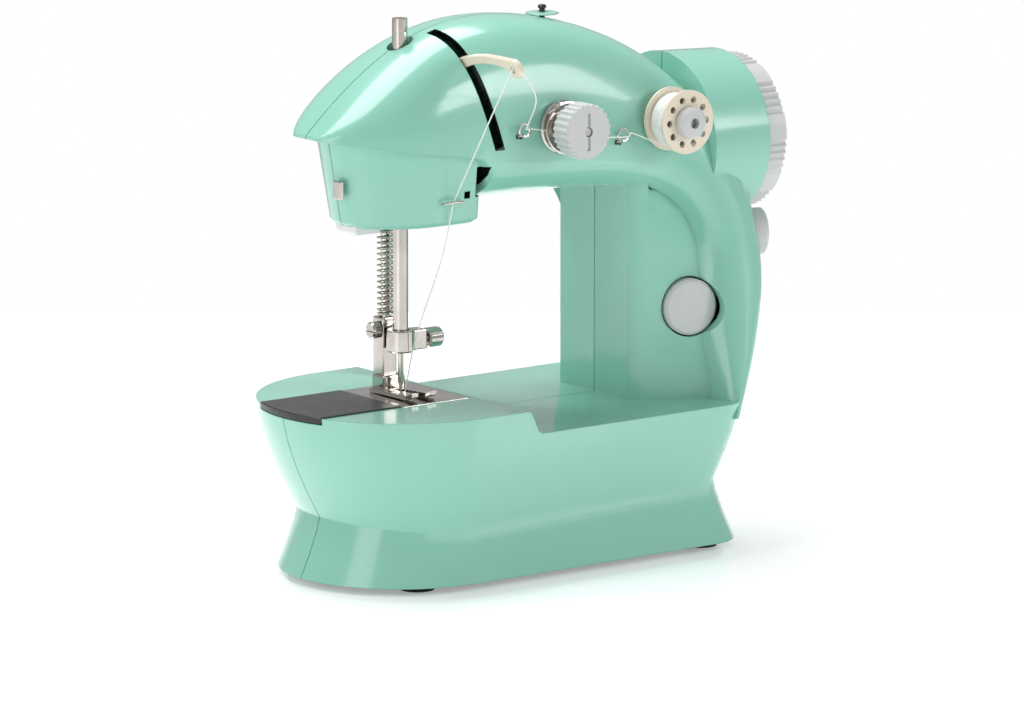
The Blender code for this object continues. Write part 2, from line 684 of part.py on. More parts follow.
def main_shaft():
    profile = [(0, 97.0), (3.0, 97.0), (3.0, 46.4), (10.4, 46.2), (10.4, 45.2), (9.0, 44.8),
        (9.0, 43.2), (10.4, 42.8)]
    profile += [(10.4, 41.8), (3.0, 41.6), (3.0, -36.0), (0, -36.0)]
    turned("main_shaft", profile, "steel", (0, 0, SHAFT_Z), ALONG_X, 20)
    disc = turned("crank_disc", [(0, -36.3), (11.2, -36.3), (12.0, -36.8), (12.0, -39.3), (11.2,
        -39.8), (0, -39.8)],
                  "steel", (0, 0, SHAFT_Z), ALONG_X, 20)
    pin = cutter("crank_pin", rod_mesh("crank_pin", 1.6, -42.4, -38.0, 16), (0, 0, SHAFT_Z - 10.2), ALONG_X)
    combine(disc, "UNION", pin)
    profile = [(3.3, 81.7), (11.0, 81.7), (11.0, 80.7), (9.6, 80.1), (9.6, 78.9), (11.0, 78.3),
        (11.0, 77.3), (3.3, 77.3)]
    turned("shaft_pulley", profile, "dark_plastic", (0, 0, SHAFT_Z), ALONG_X, 20)
    for name, low, high in (("shaft_bush_left", -14.0, -6.0), ("shaft_bush_right", 60.0, 68.0)):
        profile = [(3.3, high), (6.5, high), (6.5, low), (3.3, low)]
        turned(name, profile, "brass", (0, 0, SHAFT_Z), ALONG_X, 16)
    handwheel()


def handwheel():
    """A ribbed rim: groups of grooves stand between smooth stretches."""
    groups, ribs_per_group, group_span, depth = 8, 5, 0.6, 0.7
    outline = []
    pitch = 2 * math.pi / groups
    for g in range(groups):
        start = g * pitch
        for r in range(ribs_per_group):
            a = start + pitch * group_span * r / ribs_per_group
            step = pitch * group_span / ribs_per_group
            for f, cut in ((0.0, 0.0), (0.3, depth), (0.6, depth), (0.9, 0.0)):
                outline.append(((WHEEL_RADIUS - cut) * math.cos(a + step * f),
                    (WHEEL_RADIUS - cut) * math.sin(a + step * f)))
        for f in (0.75, 0.88):
            a = start + pitch * f
            outline.append((WHEEL_RADIUS * math.cos(a), WHEEL_RADIUS * math.sin(a)))
    width = WHEEL_END_X - WHEEL_START_X
    wheel = part("handwheel", plate_mesh("handwheel", outline, width, 0.6), "grey",
                 ((WHEEL_START_X + WHEEL_END_X) / 2, 0, SHAFT_Z), ALONG_X)
    dish = x_rod("wheel_dish", 19.0, 95.5, 105.0, sides=40, top_radius=23.0)
    combine(wheel, "DIFFERENCE", dish, x_rod("wheel_bore", 3.3, 80.0, 110.0, sides=20))


def loop_points(top_z, top_radius, low_z, low_radius, x):
    """A belt's round course over two pulleys, as points in the plane of one x."""
    lean = math.degrees(math.asin((top_radius - low_radius) / (top_z - low_z)))
    high = arc((0, top_z), top_radius, -lean, 180 + lean, 13)
    low = arc((0, low_z), low_radius, 180 + lean, 360 - lean, 9)
    return [(x, y, z) for y, z in high + low]


def motor_drive():
    body = rod_mesh("motor", 13.0, 50.0, 72.0, 28)
    motor = part("motor", body, "steel", (0, 0, MOTOR_Z), ALONG_X)
    combine(motor, "UNION", x_rod("motor_boss", 4.0, 71.0, 74.0, z=MOTOR_Z))
    combine(motor, "DIFFERENCE", x_rod("motor_shaft_bore", 1.5, 60.0, 80.0, z=MOTOR_Z, sides=16))
    profile = [(0, 81.7), (4.6, 81.7), (4.6, 80.7), (3.2, 80.1), (3.2, 78.9), (4.6, 78.3), (4.6, 77.3),
        (1.2, 76.6)]
    profile += [(1.2, 62.0), (0, 62.0)]
    turned("motor_pulley", profile, "dark_plastic", (0, 0, MOTOR_Z), ALONG_X, 14)
    part("motor_belt", tube_mesh("motor_belt", loop_points(SHAFT_Z, 10.5, MOTOR_Z, 4.1, 79.5), 0.5,
        closed=True), "rubber")


def lower_drive():
    profile = [(0, 50.0), (2.5, 50.0), (2.5, 46.5), (10.4, 46.2), (10.4, 45.2), (9.0, 44.8),
        (9.0, 43.2), (10.4, 42.8)]
    profile += [(10.4, 41.8), (2.5, 41.5), (2.5, -54.0), (6.6, -55.0), (5.0, -58.0), (0, -58.0)]
    turned("lower_shaft", profile, "steel", (0, 0, LOWER_SHAFT_Z), ALONG_X, 18)
    points = loop_points(SHAFT_Z, 9.9, LOWER_SHAFT_Z, 9.9, 44.0)
    part("timing_belt", tube_mesh("timing_belt", points, 0.5, closed=True), "rubber")


# ---------------------------------------------------------------- head


def needle_bar():
    """The bar, its clamp and screw, the needle, and the rod that the crank drives."""
    part("needle_bar", rod_mesh("needle_bar", 2.65, 76.0, 191.3, 24), "chrome", (NEEDLE_X, 0, 0))
    clamp = turned("needle_clamp", [(3.0, 84.0), (4.6, 84.0), (4.9, 83.6), (4.9, 77.0), (4.4, 76.4),
        (3.0, 76.4)],
                   "chrome", (NEEDLE_X, 0, 0), None, 24)
    lug = block("clamp_lug", (NEEDLE_X + 3.6, -3.0, 76.8), (NEEDLE_X + 9.0, 3.0, 83.6), 0.4)
    combine(clamp, "UNION", lug)
    combine(clamp, "DIFFERENCE", x_rod("clamp_thread", 1.5, NEEDLE_X + 2.0, NEEDLE_X + 12.0, z=79.9,
        sides=12))
    screw = [(0, -32.6), (3.0, -32.6), (3.5, -33.2), (3.5, -38.0), (3.0, -38.5), (1.2, -38.6),
        (1.2, -45.4), (0, -45.4)]
    thumb = turned("needle_screw", screw, "chrome", (0, 0, 79.9), ALONG_X, 20)
    combine(thumb, "DIFFERENCE", block("screw_slot", (-34.0, -0.5, 74.0), (-31.0, 0.5, 86.0)))
    needle = [(0, 75.7), (1.0, 75.7), (1.0, 66.0), (0.6, 64.5), (0.6, 56.0), (0.15, 52.0), (0, 51.9)]
    turned("needle", needle, "chrome", (NEEDLE_X, 0, 0), None, 12)
    rod = turned("connecting_rod", [(3.0, 133.5), (5.0, 133.5), (5.0, 126.9), (3.0, 126.9)],
                 "steel", (NEEDLE_X, 0, 0), None, 20)
    arm = block("rod_arm", (NEEDLE_X + 3.8, -2.6, 127.6), (-43.2, 2.6, 132.4))
    yoke = block("rod_yoke", (-45.2, -12.6, 126.9), (-43.2, 12.6, 133.4))
    combine(rod, "UNION", arm, yoke)


def presser():
    """The presser bar with its spring, foot and screw, and the lifter at the back."""
    part("presser_bar", rod_mesh("presser_bar", 1.5, 77.0, 158.0, 16), "chrome", (NEEDLE_X, PRESSER_Y, 0))
    turns, per_turn, low, high, radius = 16, 8, 87.8, 122.6, 2.15
    points = []
    for i in range(turns * per_turn + 1):
        a = 2 * math.pi * i / per_turn
        rise = min(max(i / per_turn - 1, 0), turns - 2) / (turns - 2)
        lift = 0.75 * min(i / per_turn, 1) + 0.75 * max(i / per_turn - (turns - 1), 0)
        z = low + lift + (high - low - 1.5) * rise
        points.append((radius * math.cos(a), radius * math.sin(a), z))
    part("presser_spring", tube_mesh("presser_spring", points, 0.36, 0), "chrome", (NEEDLE_X, PRESSER_Y, 0))
    foot = part("presser_foot", foot_sole(), "chrome", (0, 0, 62.2))
    shank = block("foot_shank", (NEEDLE_X - 3.0, PRESSER_Y - 2.6, 66.5),
        (NEEDLE_X + 3.0, PRESSER_Y + 3.4, 87.3), 0.5)
    ankle = block("foot_ankle", (NEEDLE_X - 4.6, PRESSER_Y - 5.4, 62.4),
        (NEEDLE_X + 4.6, PRESSER_Y + 2.0, 67.6), 0.8)
    combine(foot, "UNION", shank, ankle)
    bore = z_rod("foot_bore", 1.8, 76.7, 90.0, NEEDLE_X, PRESSER_Y, 16)
    thread = x_rod("foot_thread", 1.4, NEEDLE_X - 8.0, NEEDLE_X - 1.0, PRESSER_Y, 83.0, 12)
    combine(foot, "DIFFERENCE", bore, thread)
    screw = [(0, -50.8), (1.1, -50.8), (1.1, -52.2), (2.9, -52.3), (2.9, -55.0), (2.4, -55.6), (0, -55.6)]
    made = turned("presser_screw", screw, "chrome", (0, PRESSER_Y, 83.0), ALONG_X, 20)
    combine(made, "DIFFERENCE", block("presser_screw_slot", (-57.0, PRESSER_Y - 4, 82.5), (-54.9,
        PRESSER_Y + 4, 83.5)))
    lifter()


def foot_sole():
    """Two toes with turned-up tips, either side of the needle."""
    half, slot = 6.0, 1.6
    outline = [(half, -11.0), (half, 10.0), (half - 1.5, 11.5), (-half + 1.5, 11.5), (-half, 10.0),
        (-half, -11.0)]
    outline += [(-half + 0.8, -13.5), (-slot - 0.9, -13.5), (-slot, -12.0), (-slot, 2.4), (slot, 2.4),
        (slot, -12.0)]
    outline += [(slot + 0.9, -13.5), (half - 0.8, -13.5)]
    mesh = plate_mesh("presser_foot", [(x + NEEDLE_X, y) for x, y in outline[::-1]], 1.3)
    for vertex in mesh.vertices:
        if vertex.co.y < -10.5 * MM:
            vertex.co.z += (-10.5 * MM - vertex.co.y) * 0.5
    return mesh


def lifter():
    """A lever behind the head, on a pin along X. Its cam lifts the collar of the presser bar."""
    at = (NEEDLE_X, LIFTER_Y, LIFTER_Z)
    outline = [(-3.0, -2.4), (-3.0, 2.0), (0.0, 3.2), (5.0, 2.2), (19.5, -3.2), (22.4, -5.6), (21.6, -8.0)]
    outline += [(18.6, -7.2), (4.0, -3.2), (0.0, -3.4)]
    sideways = Matrix(((0, 0, 1, 0), (1, 0, 0, 0), (0, 1, 0, 0), (0, 0, 0, 1)))
    lever = part("lifter_lever", plate_mesh("lifter_lever", outline, 4.0, 0.4), "dark_plastic", at,
        sideways)
    combine(lever, "DIFFERENCE", x_rod("lifter_bore", 1.3, -60.0, -38.0, LIFTER_Y, LIFTER_Z, 14))
    part("lifter_pin", rod_mesh("lifter_pin", 1.0, -4.6, 4.6, 14), "steel", at, ALONG_X)


def take_up():
    """A flat lever that swings in the leaning slot, with a hooked eye at its front end."""
    outline = [(3.4, -0.5), (2.4, 2.6), (-0.5, 3.9), (-9.0, 15.0), (-14.0, 20.6), (-18.5, 22.6),
        (-26.0, 24.4)]
    outline += [(-33.0, 25.4), (-40.0, 25.6)]
    outline += arc(TAKE_UP_EYE, 3.4, 75, 255, 9)
    outline += [(-46.6, 19.9), (-44.6, 22.0), (-40.0, 22.6), (-33.0, 22.4), (-26.0, 21.2), (-19.0, 18.8)]
    outline += [(-15.5, 16.6), (-11.5, 12.0), (-4.4, -1.5), (-2.6, -3.4), (1.6, -3.4)]
    sideways = SLOT_LEAN @ Matrix(((0, 0, 1, 0), (1, 0, 0, 0), (0, 1, 0, 0), (0, 0, 0, 1)))
    at = (SLOT_MIDDLE[0], 0.0, SLOT_MIDDLE[1])
    lever = part("take_up_lever", plate_mesh("take_up_lever", outline, 2.2, 0.3), "cream", at, sideways)
    holes = []
    for name, (y, rise), radius in (("take_up_bore", (0.0, 0.0), 1.5), ("take_up_eye", TAKE_UP_EYE, 1.3)):
        place = Vector(at) + SLOT_LEAN @ Vector((0.0, y, rise))
        holes.append(cutter(name, rod_mesh(name, radius, -5.0, 5.0, 14), place, SLOT_LEAN @ ALONG_X))
    combine(lever, "DIFFERENCE", *holes)
    part("take_up_pivot", rod_mesh("take_up_pivot", 1.2, -4.3, 4.3, 16), "steel", at, SLOT_LEAN @ ALONG_X)


def lamp():
    part("lamp_lens", box_mesh("lamp_lens", (-72.0, -6.0, 119.4), (-61.0, 6.0, 124.4), 1.2), "lens")


def cup_wall(z):
    """Half length and half width of the cup at a height."""
    rise = (z - CUP_BOTTOM[2]) / (CUP_TOP[2] - CUP_BOTTOM[2])
    return between(CUP_BOTTOM[:2], CUP_TOP[:2], rise)


def head_trim():
    """The staple that guides the thread down to the needle, and the thread cutter on the cup."""
    x, z = -44.5, 130.6
    y = -cup_wall(z)[1] - 0.5
    hook = [(x - 4.0, y - 0.3, z), (x - 4.0, y - 1.6, z), (x - 1.5, y - 2.2, z + 0.4),
        (x + 1.5, y - 2.2, z + 0.4)]
    hook += [(x + 4.0, y - 1.6, z), (x + 4.0, y - 0.3, z)]
    part("needle_thread_guide", tube_mesh("needle_thread_guide", hook, 0.45), "chrome")
    left = BASE_END_X - cup_wall(139.0)[0]
    blade = box_mesh("thread_cutter", (left - 1.9, -6.4, 132.6), (left - 0.5, -2.0, 138.8), 0.3)
    part("thread_cutter", blade, "chrome")


# ---------------------------------------------------------------- front of the arm


def proud_face(skin, spot, reach):
    """The foremost y of the wall that a round piece of this radius stands in front of."""
    x, z = spot
    around = [(x, z), (x - reach, z), (x + reach, z), (x, z - reach), (x - reach * 0.7, z - reach * 0.7)]
    return min(skin.hit((px, -90, pz), (0, 1, 0))[0].y for px, pz in around)


def tension(skin):
    x, z = TENSION
    face = proud_face(skin, TENSION, 9.2)
    at = (x, face, z)
    turned("tension_stud", [(0, 15.0), (1.4, 15.0), (1.4, -5.0), (0, -5.0)], "steel", at, FORWARD, 14)
    for name, low in (("tension_disc_inner", 1.0), ("tension_disc_outer", 2.6)):
        profile = [(1.8, low + 0.5), (6.0, low + 0.5), (8.6, low + 1.3), (9.2, low + 1.1),
            (8.6, low + 0.6), (6.2, low),
                   (1.8, low)]
        if low < 2:
            profile = [(r, 2 * low + 0.8 - h) for r, h in profile][::-1]
        turned(name, profile, "chrome", at, FORWARD, 26)
    points = []
    for i in range(4 * 10 + 1):
        a = 2 * math.pi * i / 10
        points.append((3.4 * math.cos(a), 3.4 * math.sin(a), 4.1 + 2.6 * i / 40))
    part("tension_spring", tube_mesh("tension_spring", points, 0.4, 0), "chrome", at, FORWARD)
    dial(at)


def dial(at):
    """A knob with fine ribs round its rim and a shallow groove across its face."""
    ribs, outer, depth, low, high = 26, 9.6, 0.55, 7.5, 15.6
    outline = []
    for i in range(ribs * 2):
        radius = outer if i % 2 else outer - depth
        for lean in (-0.25, 0.25):
            a = math.pi * (i + lean) / ribs
            outline.append((radius * math.cos(a), radius * math.sin(a)))
    knob = part("tension_dial", plate_mesh("tension_dial", outline, high - low, 0.5), "grey",
                Vector(at) + Vector((0, -(low + high) / 2, 0)), FORWARD)
    back = aimed_rod("dial_bore", 1.7, -20.0, 6.6, at, (0, 1, 0), 16)
    bar = block("dial_groove", (at[0] - 0.6, at[1] - high - 1.0, at[2] - 6.4),
        (at[0] + 0.6, at[1] - high + 0.6, at[2] + 6.4))
    combine(knob, "DIFFERENCE", back, bar)


def spool(skin):
    x, z = SPOOL
    face = proud_face(skin, SPOOL, 11.1)
    at = (x, face, z)
    profile = [(0, 13.6), (1.5, 13.6), (1.5, 0.8), (4.4, 0.7), (4.4, 0.4), (1.5, 0.3), (1.5, -5.0),
        (0, -5.0)]
    turned("spool_spindle", profile, "steel", at, FORWARD, 16)
    bobbin = turned("upper_bobbin", bobbin_profile(11.1, 10.4, 1.2), "cream", at, FORWARD, 32)
    holes = []
    for i in range(10):
        a = 2 * math.pi * i / 10
        place = (x + 7.9 * math.cos(a), face, z + 7.9 * math.sin(a))
        holes.append(aimed_rod(f"bobbin_hole_{i}", 1.25, 10.0, 13.0, place, (0, -1, 0), 8))
    combine(bobbin, "DIFFERENCE", *holes)
    cap = [(1.8, 15.6), (4.6, 15.4), (5.4, 14.6), (5.4, 11.9), (1.8, 11.9)]
    turned("spool_cap", cap, "grey", at, FORWARD, 28)


def arm_guides(skin):
    """Bent wire eyes for the thread, each with its two legs at the wall."""
    for name, (x, z), size in (("arm_guide_left", GUIDE_LEFT, 2.6), ("arm_guide_right", GUIDE_RIGHT, 2.3)):
        y = skin.hit((x, -90, z), (0, 1, 0))[0].y - 0.9
        points = [(x - size, y, z - 2.0), (x - size, y - 2.2, z - 1.6)]
        points += [(x + 0.9 * size * math.sin(a), y - 3.4, z + 1.6 - size * math.cos(a) * 0.9)
                   for a in np.radians(np.linspace(-150, 150, 9))]
        points += [(x + size, y - 2.2, z - 1.6), (x + size, y, z - 2.0)]
        part(name, tube_mesh(name, points, 0.5), "chrome")


def spool_pin(skin):
    top = skin.hit((SPOOL_PIN_X, 0, 260), (0, 0, -1))[0].z
    profile = [(0, top + 4.4), (1.1, top + 4.4), (1.5, top + 3.9), (1.5, top + 3.3), (1.0, top + 3.0),
        (1.0, top - 38.0),
               (0, top - 38.0)]
    turned("spool_pin", profile, "dark_plastic", (SPOOL_PIN_X, 0, 0), None, 16)
    profile = [(1.4, top + 2.0), (4.6, top + 1.9), (5.8, top + 1.6), (5.8, top + 1.3), (1.4, top + 1.3)]
    turned("spool_pin_base", profile, "mint", (SPOOL_PIN_X, 0, 0), None, 20)


def buttons():
    for name, (place, axis, radius) in (("power_button", FRONT_BUTTON), ("lamp_button", SIDE_BUTTON)):
        profile = [(0, 2.4), (radius * 0.6, 2.2), (radius - 0.9, 1.7), (radius, 0.9), (radius, -5.0),
            (0, -5.0)]
        turned(name, profile, "grey", place, aim(axis), 36)


def rear_fittings(skin):
    for i, (x, z) in enumerate(SCREW_SPOTS):
        profile = [(0, 0.1), (2.2, 0.1), (2.9, -0.5), (2.9, -1.0), (1.3, -1.0), (1.3, -8.0), (0, -8.0)]
        screw = turned(f"shell_screw_{i + 1}", profile, "steel", (x, rear_wall(x, z, skin), z),
            BACKWARD, 12)
        wall = rear_wall(x, z, skin)
        bars = [block(f"cross_{i}_a", (x - 1.7, wall - 0.7, z - 0.35), (x + 1.7, wall + 1, z + 0.35)),
                block(f"cross_{i}_b", (x - 0.35, wall - 0.7, z - 1.7), (x + 0.35, wall + 1, z + 1.7))]
        combine(screw, "DIFFERENCE", *bars)
    for name, (x, z) in zip(("power_jack", "pedal_jack"), JACK_SPOTS):
        profile = [(0, -6.0), (2.6, -6.0), (2.6, 0.2), (4.0, 0.3), (4.6, -0.2), (4.6, -8.0), (0, -8.0)]
        turned(name, profile, "dark_plastic", (x, rear_wall(x, z, skin), z), BACKWARD, 24)


clear_scene()
parts = new_collection("mini_sewing_machine")
cutters = new_collection("cutters")
surface = Skin()
shell("front_shell", -1, surface)
shell("rear_shell", 1, surface)
base_plate()
needle_plate()
feed_dog()
bobbin_cover()
rotary_hook()
main_shaft()
motor_drive()
lower_drive()
needle_bar()
presser()
take_up()
lamp()
head_trim()
tension(surface)
spool(surface)
arm_guides(surface)
spool_pin(surface)
buttons()
rear_fittings(surface)
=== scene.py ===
"""The looks of a mint-green mini sewing machine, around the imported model."""

import json
import math

import bmesh
import bpy
import numpy as np
from mathutils import Matrix, Vector
from mathutils.bvhtree import BVHTree

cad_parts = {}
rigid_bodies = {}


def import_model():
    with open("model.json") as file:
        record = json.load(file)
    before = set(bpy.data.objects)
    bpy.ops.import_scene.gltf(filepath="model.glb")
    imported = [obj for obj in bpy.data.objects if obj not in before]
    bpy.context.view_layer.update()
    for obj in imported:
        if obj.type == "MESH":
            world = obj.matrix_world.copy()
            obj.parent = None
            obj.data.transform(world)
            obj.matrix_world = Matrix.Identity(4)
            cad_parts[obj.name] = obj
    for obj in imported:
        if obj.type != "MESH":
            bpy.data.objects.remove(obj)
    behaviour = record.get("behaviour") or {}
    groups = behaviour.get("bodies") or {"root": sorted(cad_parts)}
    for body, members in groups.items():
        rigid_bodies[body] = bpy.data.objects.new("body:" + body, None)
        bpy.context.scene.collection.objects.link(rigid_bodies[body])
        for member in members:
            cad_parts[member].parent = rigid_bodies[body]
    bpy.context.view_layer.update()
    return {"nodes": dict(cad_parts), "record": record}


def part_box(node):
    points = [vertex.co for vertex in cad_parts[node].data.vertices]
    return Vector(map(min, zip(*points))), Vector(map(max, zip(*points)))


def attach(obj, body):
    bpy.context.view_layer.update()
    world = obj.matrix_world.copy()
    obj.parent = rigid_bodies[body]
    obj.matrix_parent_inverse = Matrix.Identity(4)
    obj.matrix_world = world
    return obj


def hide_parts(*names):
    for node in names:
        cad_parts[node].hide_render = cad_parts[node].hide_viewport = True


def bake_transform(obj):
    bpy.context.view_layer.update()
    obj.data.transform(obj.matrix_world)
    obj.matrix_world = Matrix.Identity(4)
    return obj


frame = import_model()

NODES = frame["nodes"]
BODY = "machine_body"

# The picture: where the camera stands, in metres and degrees
LOOK_AT = Vector((-0.0013, 0.0, 0.0697))
AZIMUTH, ELEVATION = -37.0, 11.0
DISTANCE = 2.6
LENS = 101.8 * DISTANCE
SHARP_DEGREES = 34  # edges steeper than this stay crisp

# Base colours, light and dark tone of each
MINT_TONES = ((0.265, 0.585, 0.470), (0.252, 0.565, 0.452))
DARK_TONES = ((0.012, 0.012, 0.014), (0.018, 0.018, 0.021))
GREY_TONES = ((0.58, 0.595, 0.59), (0.545, 0.56, 0.558))
CREAM_TONES = ((0.80, 0.72, 0.585), (0.74, 0.66, 0.525))
RUBBER_TONES = ((0.020, 0.020, 0.021), (0.028, 0.028, 0.029))
LENS_TONES = ((0.80, 0.82, 0.81), (0.72, 0.745, 0.74))
NICKEL_TONES = ((0.66, 0.62, 0.575), (0.52, 0.485, 0.45))
STEEL_TONES = ((0.50, 0.50, 0.50), (0.40, 0.40, 0.41))
BRONZE_TONES = ((0.70, 0.50, 0.24), (0.58, 0.40, 0.19))
THREAD_TONES = ((0.90, 0.92, 0.90), (0.72, 0.75, 0.73))
# near-black colour painted on the walls inside the slots of the head, as their shade
PAINTED_SLOT_SHADE = (0.004, 0.006, 0.007, 1.0)

# Thread, spring and guides, in millimetres
THREAD_RADIUS = 0.22
WOUND_RADIUS = 0.27
WOUND_LAYERS = (8.6, 9.0)
WOUND_TURNS = 17
COIL_STEPS = 24  # points in one turn of a coil
SPRING_TURNS = 19
SPRING_RADIUS = 2.5
SPRING_WIRE = 0.46
GUIDE_WIRE = 0.42
GUIDE_HOLE_RADIUS = 0.85
DISC_GROOVE_RADIUS = 5.2  # where the thread lies between the tension discs
TAKE_UP_EYE = (-48.6, 22.2)  # y, and the height above the pivot along the slot

# The machine's own shape, in millimetres
MM = 0.001
WALL = 2.4
SEAM = 0.15  # each shell stops this far from the parting plane y = 0

# Axes that the drive and the shells share
NEEDLE_X = -48.9
PRESSER_Y = 8.8
SHAFT_Z = 139.0

# Base
SKIRT_BOTTOM = 2.6
DECK_Z = 61.2
TABLE_Z = 52.7
RAMP_TOP_X, RAMP_FOOT_X = -30.8, -25.0
BASE_END_X = -48.9  # centre of the half ellipse at the left end
BOTTOM_PLAN = (42.4, 42.4, 70.7)  # half ellipse length, half width, right end
WAIST_PLAN = (34.3, 39.0, 64.0)
DECK_PLAN = (49.5, 49.5, 69.7)

# Arm and column, as curves in the XZ plane
NOSE = ((-89.1, 153.8), (-61.0, 181.0), (-39.5, 189.5), (-17.5, 189.5))
OUTER_ARM = ((-17.5, 189.5), (36.0, 190.0), (89.1, 156.0), (89.1, 104.0))
OUTER_COLUMN = ((89.1, 104.0), (89.1, 84.0), (78.0, 65.0), (66.4, 47.0))
FRONT_ARM = ((-17.5, 142.3), (22.0, 140.6), (71.0, 138.0), (71.0, 92.0))
FRONT_COLUMN = ((71.0, 92.0), (71.0, 76.0), (66.5, 62.0), (60.6, 47.0))
REAR_ARM = ((-17.5, 142.3), (10.0, 140.6), (46.0, 132.0), (51.0, 92.0))
REAR_COLUMN = ((51.0, 92.0), (53.0, 78.0), (56.0, 63.0), (60.0, 47.0))
KEEL_ARM = ((-17.5, 127.6), (40.0, 127.4), (62.0, 127.0), (56.0, 92.0))
KEEL_COLUMN = ((56.0, 92.0), (56.0, 78.0), (56.0, 62.0), (58.0, 47.0))
ARM_HALF_DEPTH = 27.5
DEPTH_BREAK_Z = 133.0
DEPTH_SLOPE = 0.226
NOSE_PLAN = (40.2, 26.7)
SQUARENESS = 2.7
OUTSIDE_DETAIL = {"over": 20, "under": 7, "nose": 30, "arm": 36, "column": 12, "round": 81, "level": 1}
HOLLOW_DETAIL = {"over": 8, "under": 3, "nose": 10, "arm": 12, "column": 4, "round": 27, "level": 2}
THROAT_X = 34.5
CORE_CORNER = (37.6, 22.3)
SCOOP_DEPTH = 9.0

# Head cup
CUP_TOP = (30.9, 25.4, 157.0)
CUP_BOTTOM = (24.7, 21.7, 122.4)
CUP_RIGHT_X = -31.0

# Housing and handwheel
HOUSING_RADIUS = 29.5
HOUSING_END_X = 89.0

# Places on the front, in x and z
HOOK_X = -66.0
SPOOL_PIN_X = 11.6
TENSION = (-1.0, 153.0)
SPOOL = (45.0, 151.5)
FRONT_BUTTON = ((55.7, -26.5, 84.1), (-0.225, -0.974, 0.0), 9.9)
SIDE_BUTTON = ((88.0, -24.3, 107.0), (0.93, -0.37, 0.0), 8.2)
SLOT_MIDDLE = (-29.9, 157.5)  # x and z on the slot's middle plane, at the take-up pivot
SLOT_LEAN = Matrix.Rotation(math.radians(-17.1), 4, "Y")  # the top of the slot leans to the left
SLOT_HALF_WIDTH = 1.9
LOW_SLOT = (-34.0, -30.0)
SCREW_SPOTS = ((-8.0, 152.0), (38.0, 150.0), (-44.0, 44.0), (46.0, 42.0))
JACK_SPOTS = ((14.0, 30.0), (30.0, 30.0))


# ---------------------------------------------------------------- mesh tools


def cutter(name, data, at=(0, 0, 0), turn=None):
    """A helper that a Boolean reads, taken away again once the shells are made."""
    obj = bpy.data.objects.new(name, data)
    helpers.objects.link(obj)
    obj.matrix_world = Matrix.Translation(metres(at)) @ (turn or Matrix.Identity(4))
    return obj


def metres(point):
    return Vector(point) * MM


def combine(obj, operation, *others, solver="EXACT"):
    for other in others:
        modifier = obj.modifiers.new(operation.lower() + "_" + other.name, "BOOLEAN")
        modifier.operation = operation
        modifier.solver = solver
        modifier.object = other


def shaded(mesh, angle=32):
    mesh.shade_smooth()
    mesh.set_sharp_from_angle(angle=math.radians(angle))
    return mesh


def mesh_of(bm, name):
    bmesh.ops.recalc_face_normals(bm, faces=bm.faces)
    mesh = bpy.data.meshes.new(name)
    bm.to_mesh(mesh)
    bm.free()
    return shaded(mesh)


def aim(axis):
    """The turn that takes local +Z to the given direction."""
    return Vector(axis).to_track_quat("Z", "Y").to_matrix().to_4x4()


ALONG_X = aim((1, 0, 0))
UPRIGHT = Matrix.Rotation(math.pi / 2, 4, "X")  # local XY becomes world XZ


def box_mesh(name, low, high, bevel=0.0):
    """A box between two corners, in millimetres, with its edges rounded if asked."""
    bm = bmesh.new()
    size = [(b - a) * MM for a, b in zip(low, high)]
    middle = [(a + b) * 0.5 * MM for a, b in zip(low, high)]
    bmesh.ops.create_cube(bm, size=1.0, matrix=Matrix.Translation(middle) @ Matrix.Diagonal((*size, 1.0)))
    if bevel:
        bmesh.ops.bevel(bm, geom=bm.edges[:], offset=bevel * MM, segments=2, profile=0.5, affect="EDGES")
    return mesh_of(bm, name)


def rod_mesh(name, radius, low, high, sides=24, top_radius=None):
    """A cylinder or cone about local Z between two heights."""
    bm = bmesh.new()
    bmesh.ops.create_cone(
        bm,
        cap_ends=True,
        segments=sides,
        radius1=radius * MM,
        radius2=(radius if top_radius is None else top_radius) * MM,
        depth=(high - low) * MM,
        matrix=Matrix.Translation((0, 0, (low + high) * 0.5 * MM)),
    )
    return mesh_of(bm, name)


def baked(obj):
    """The evaluated mesh of an object, welded, in place of its curve or its modifiers."""
    bpy.context.view_layer.update()
    graph = bpy.context.evaluated_depsgraph_get()
    mesh = bpy.data.meshes.new_from_object(obj.evaluated_get(graph))
    bm = bmesh.new()
    bm.from_mesh(mesh)
    bmesh.ops.remove_doubles(bm, verts=bm.verts, dist=0.000002)
    bmesh.ops.recalc_face_normals(bm, faces=bm.faces)
    bm.to_mesh(mesh)
    bm.free()
    mesh.name = obj.name
    return shaded(mesh)


def tube_mesh(name, points, radius, resolution=2, closed=False):
    """A round wire through the points, in millimetres, with closed ends."""
    curve = bpy.data.curves.new(name, "CURVE")
    curve.dimensions = "3D"
    curve.bevel_depth = radius * MM
    curve.bevel_resolution = resolution
    curve.use_fill_caps = not closed
    spline = curve.splines.new("POLY")
    spline.points.add(len(points) - 1)
    spline.use_cyclic_u = closed
    for knot, point in zip(spline.points, points):
        knot.co = (*metres(point), 1.0)
    obj = bpy.data.objects.new(name + "_wire", curve)
    bpy.context.scene.collection.objects.link(obj)
    mesh = baked(obj)
    bpy.data.objects.remove(obj)
    bpy.data.curves.remove(curve)
    return mesh


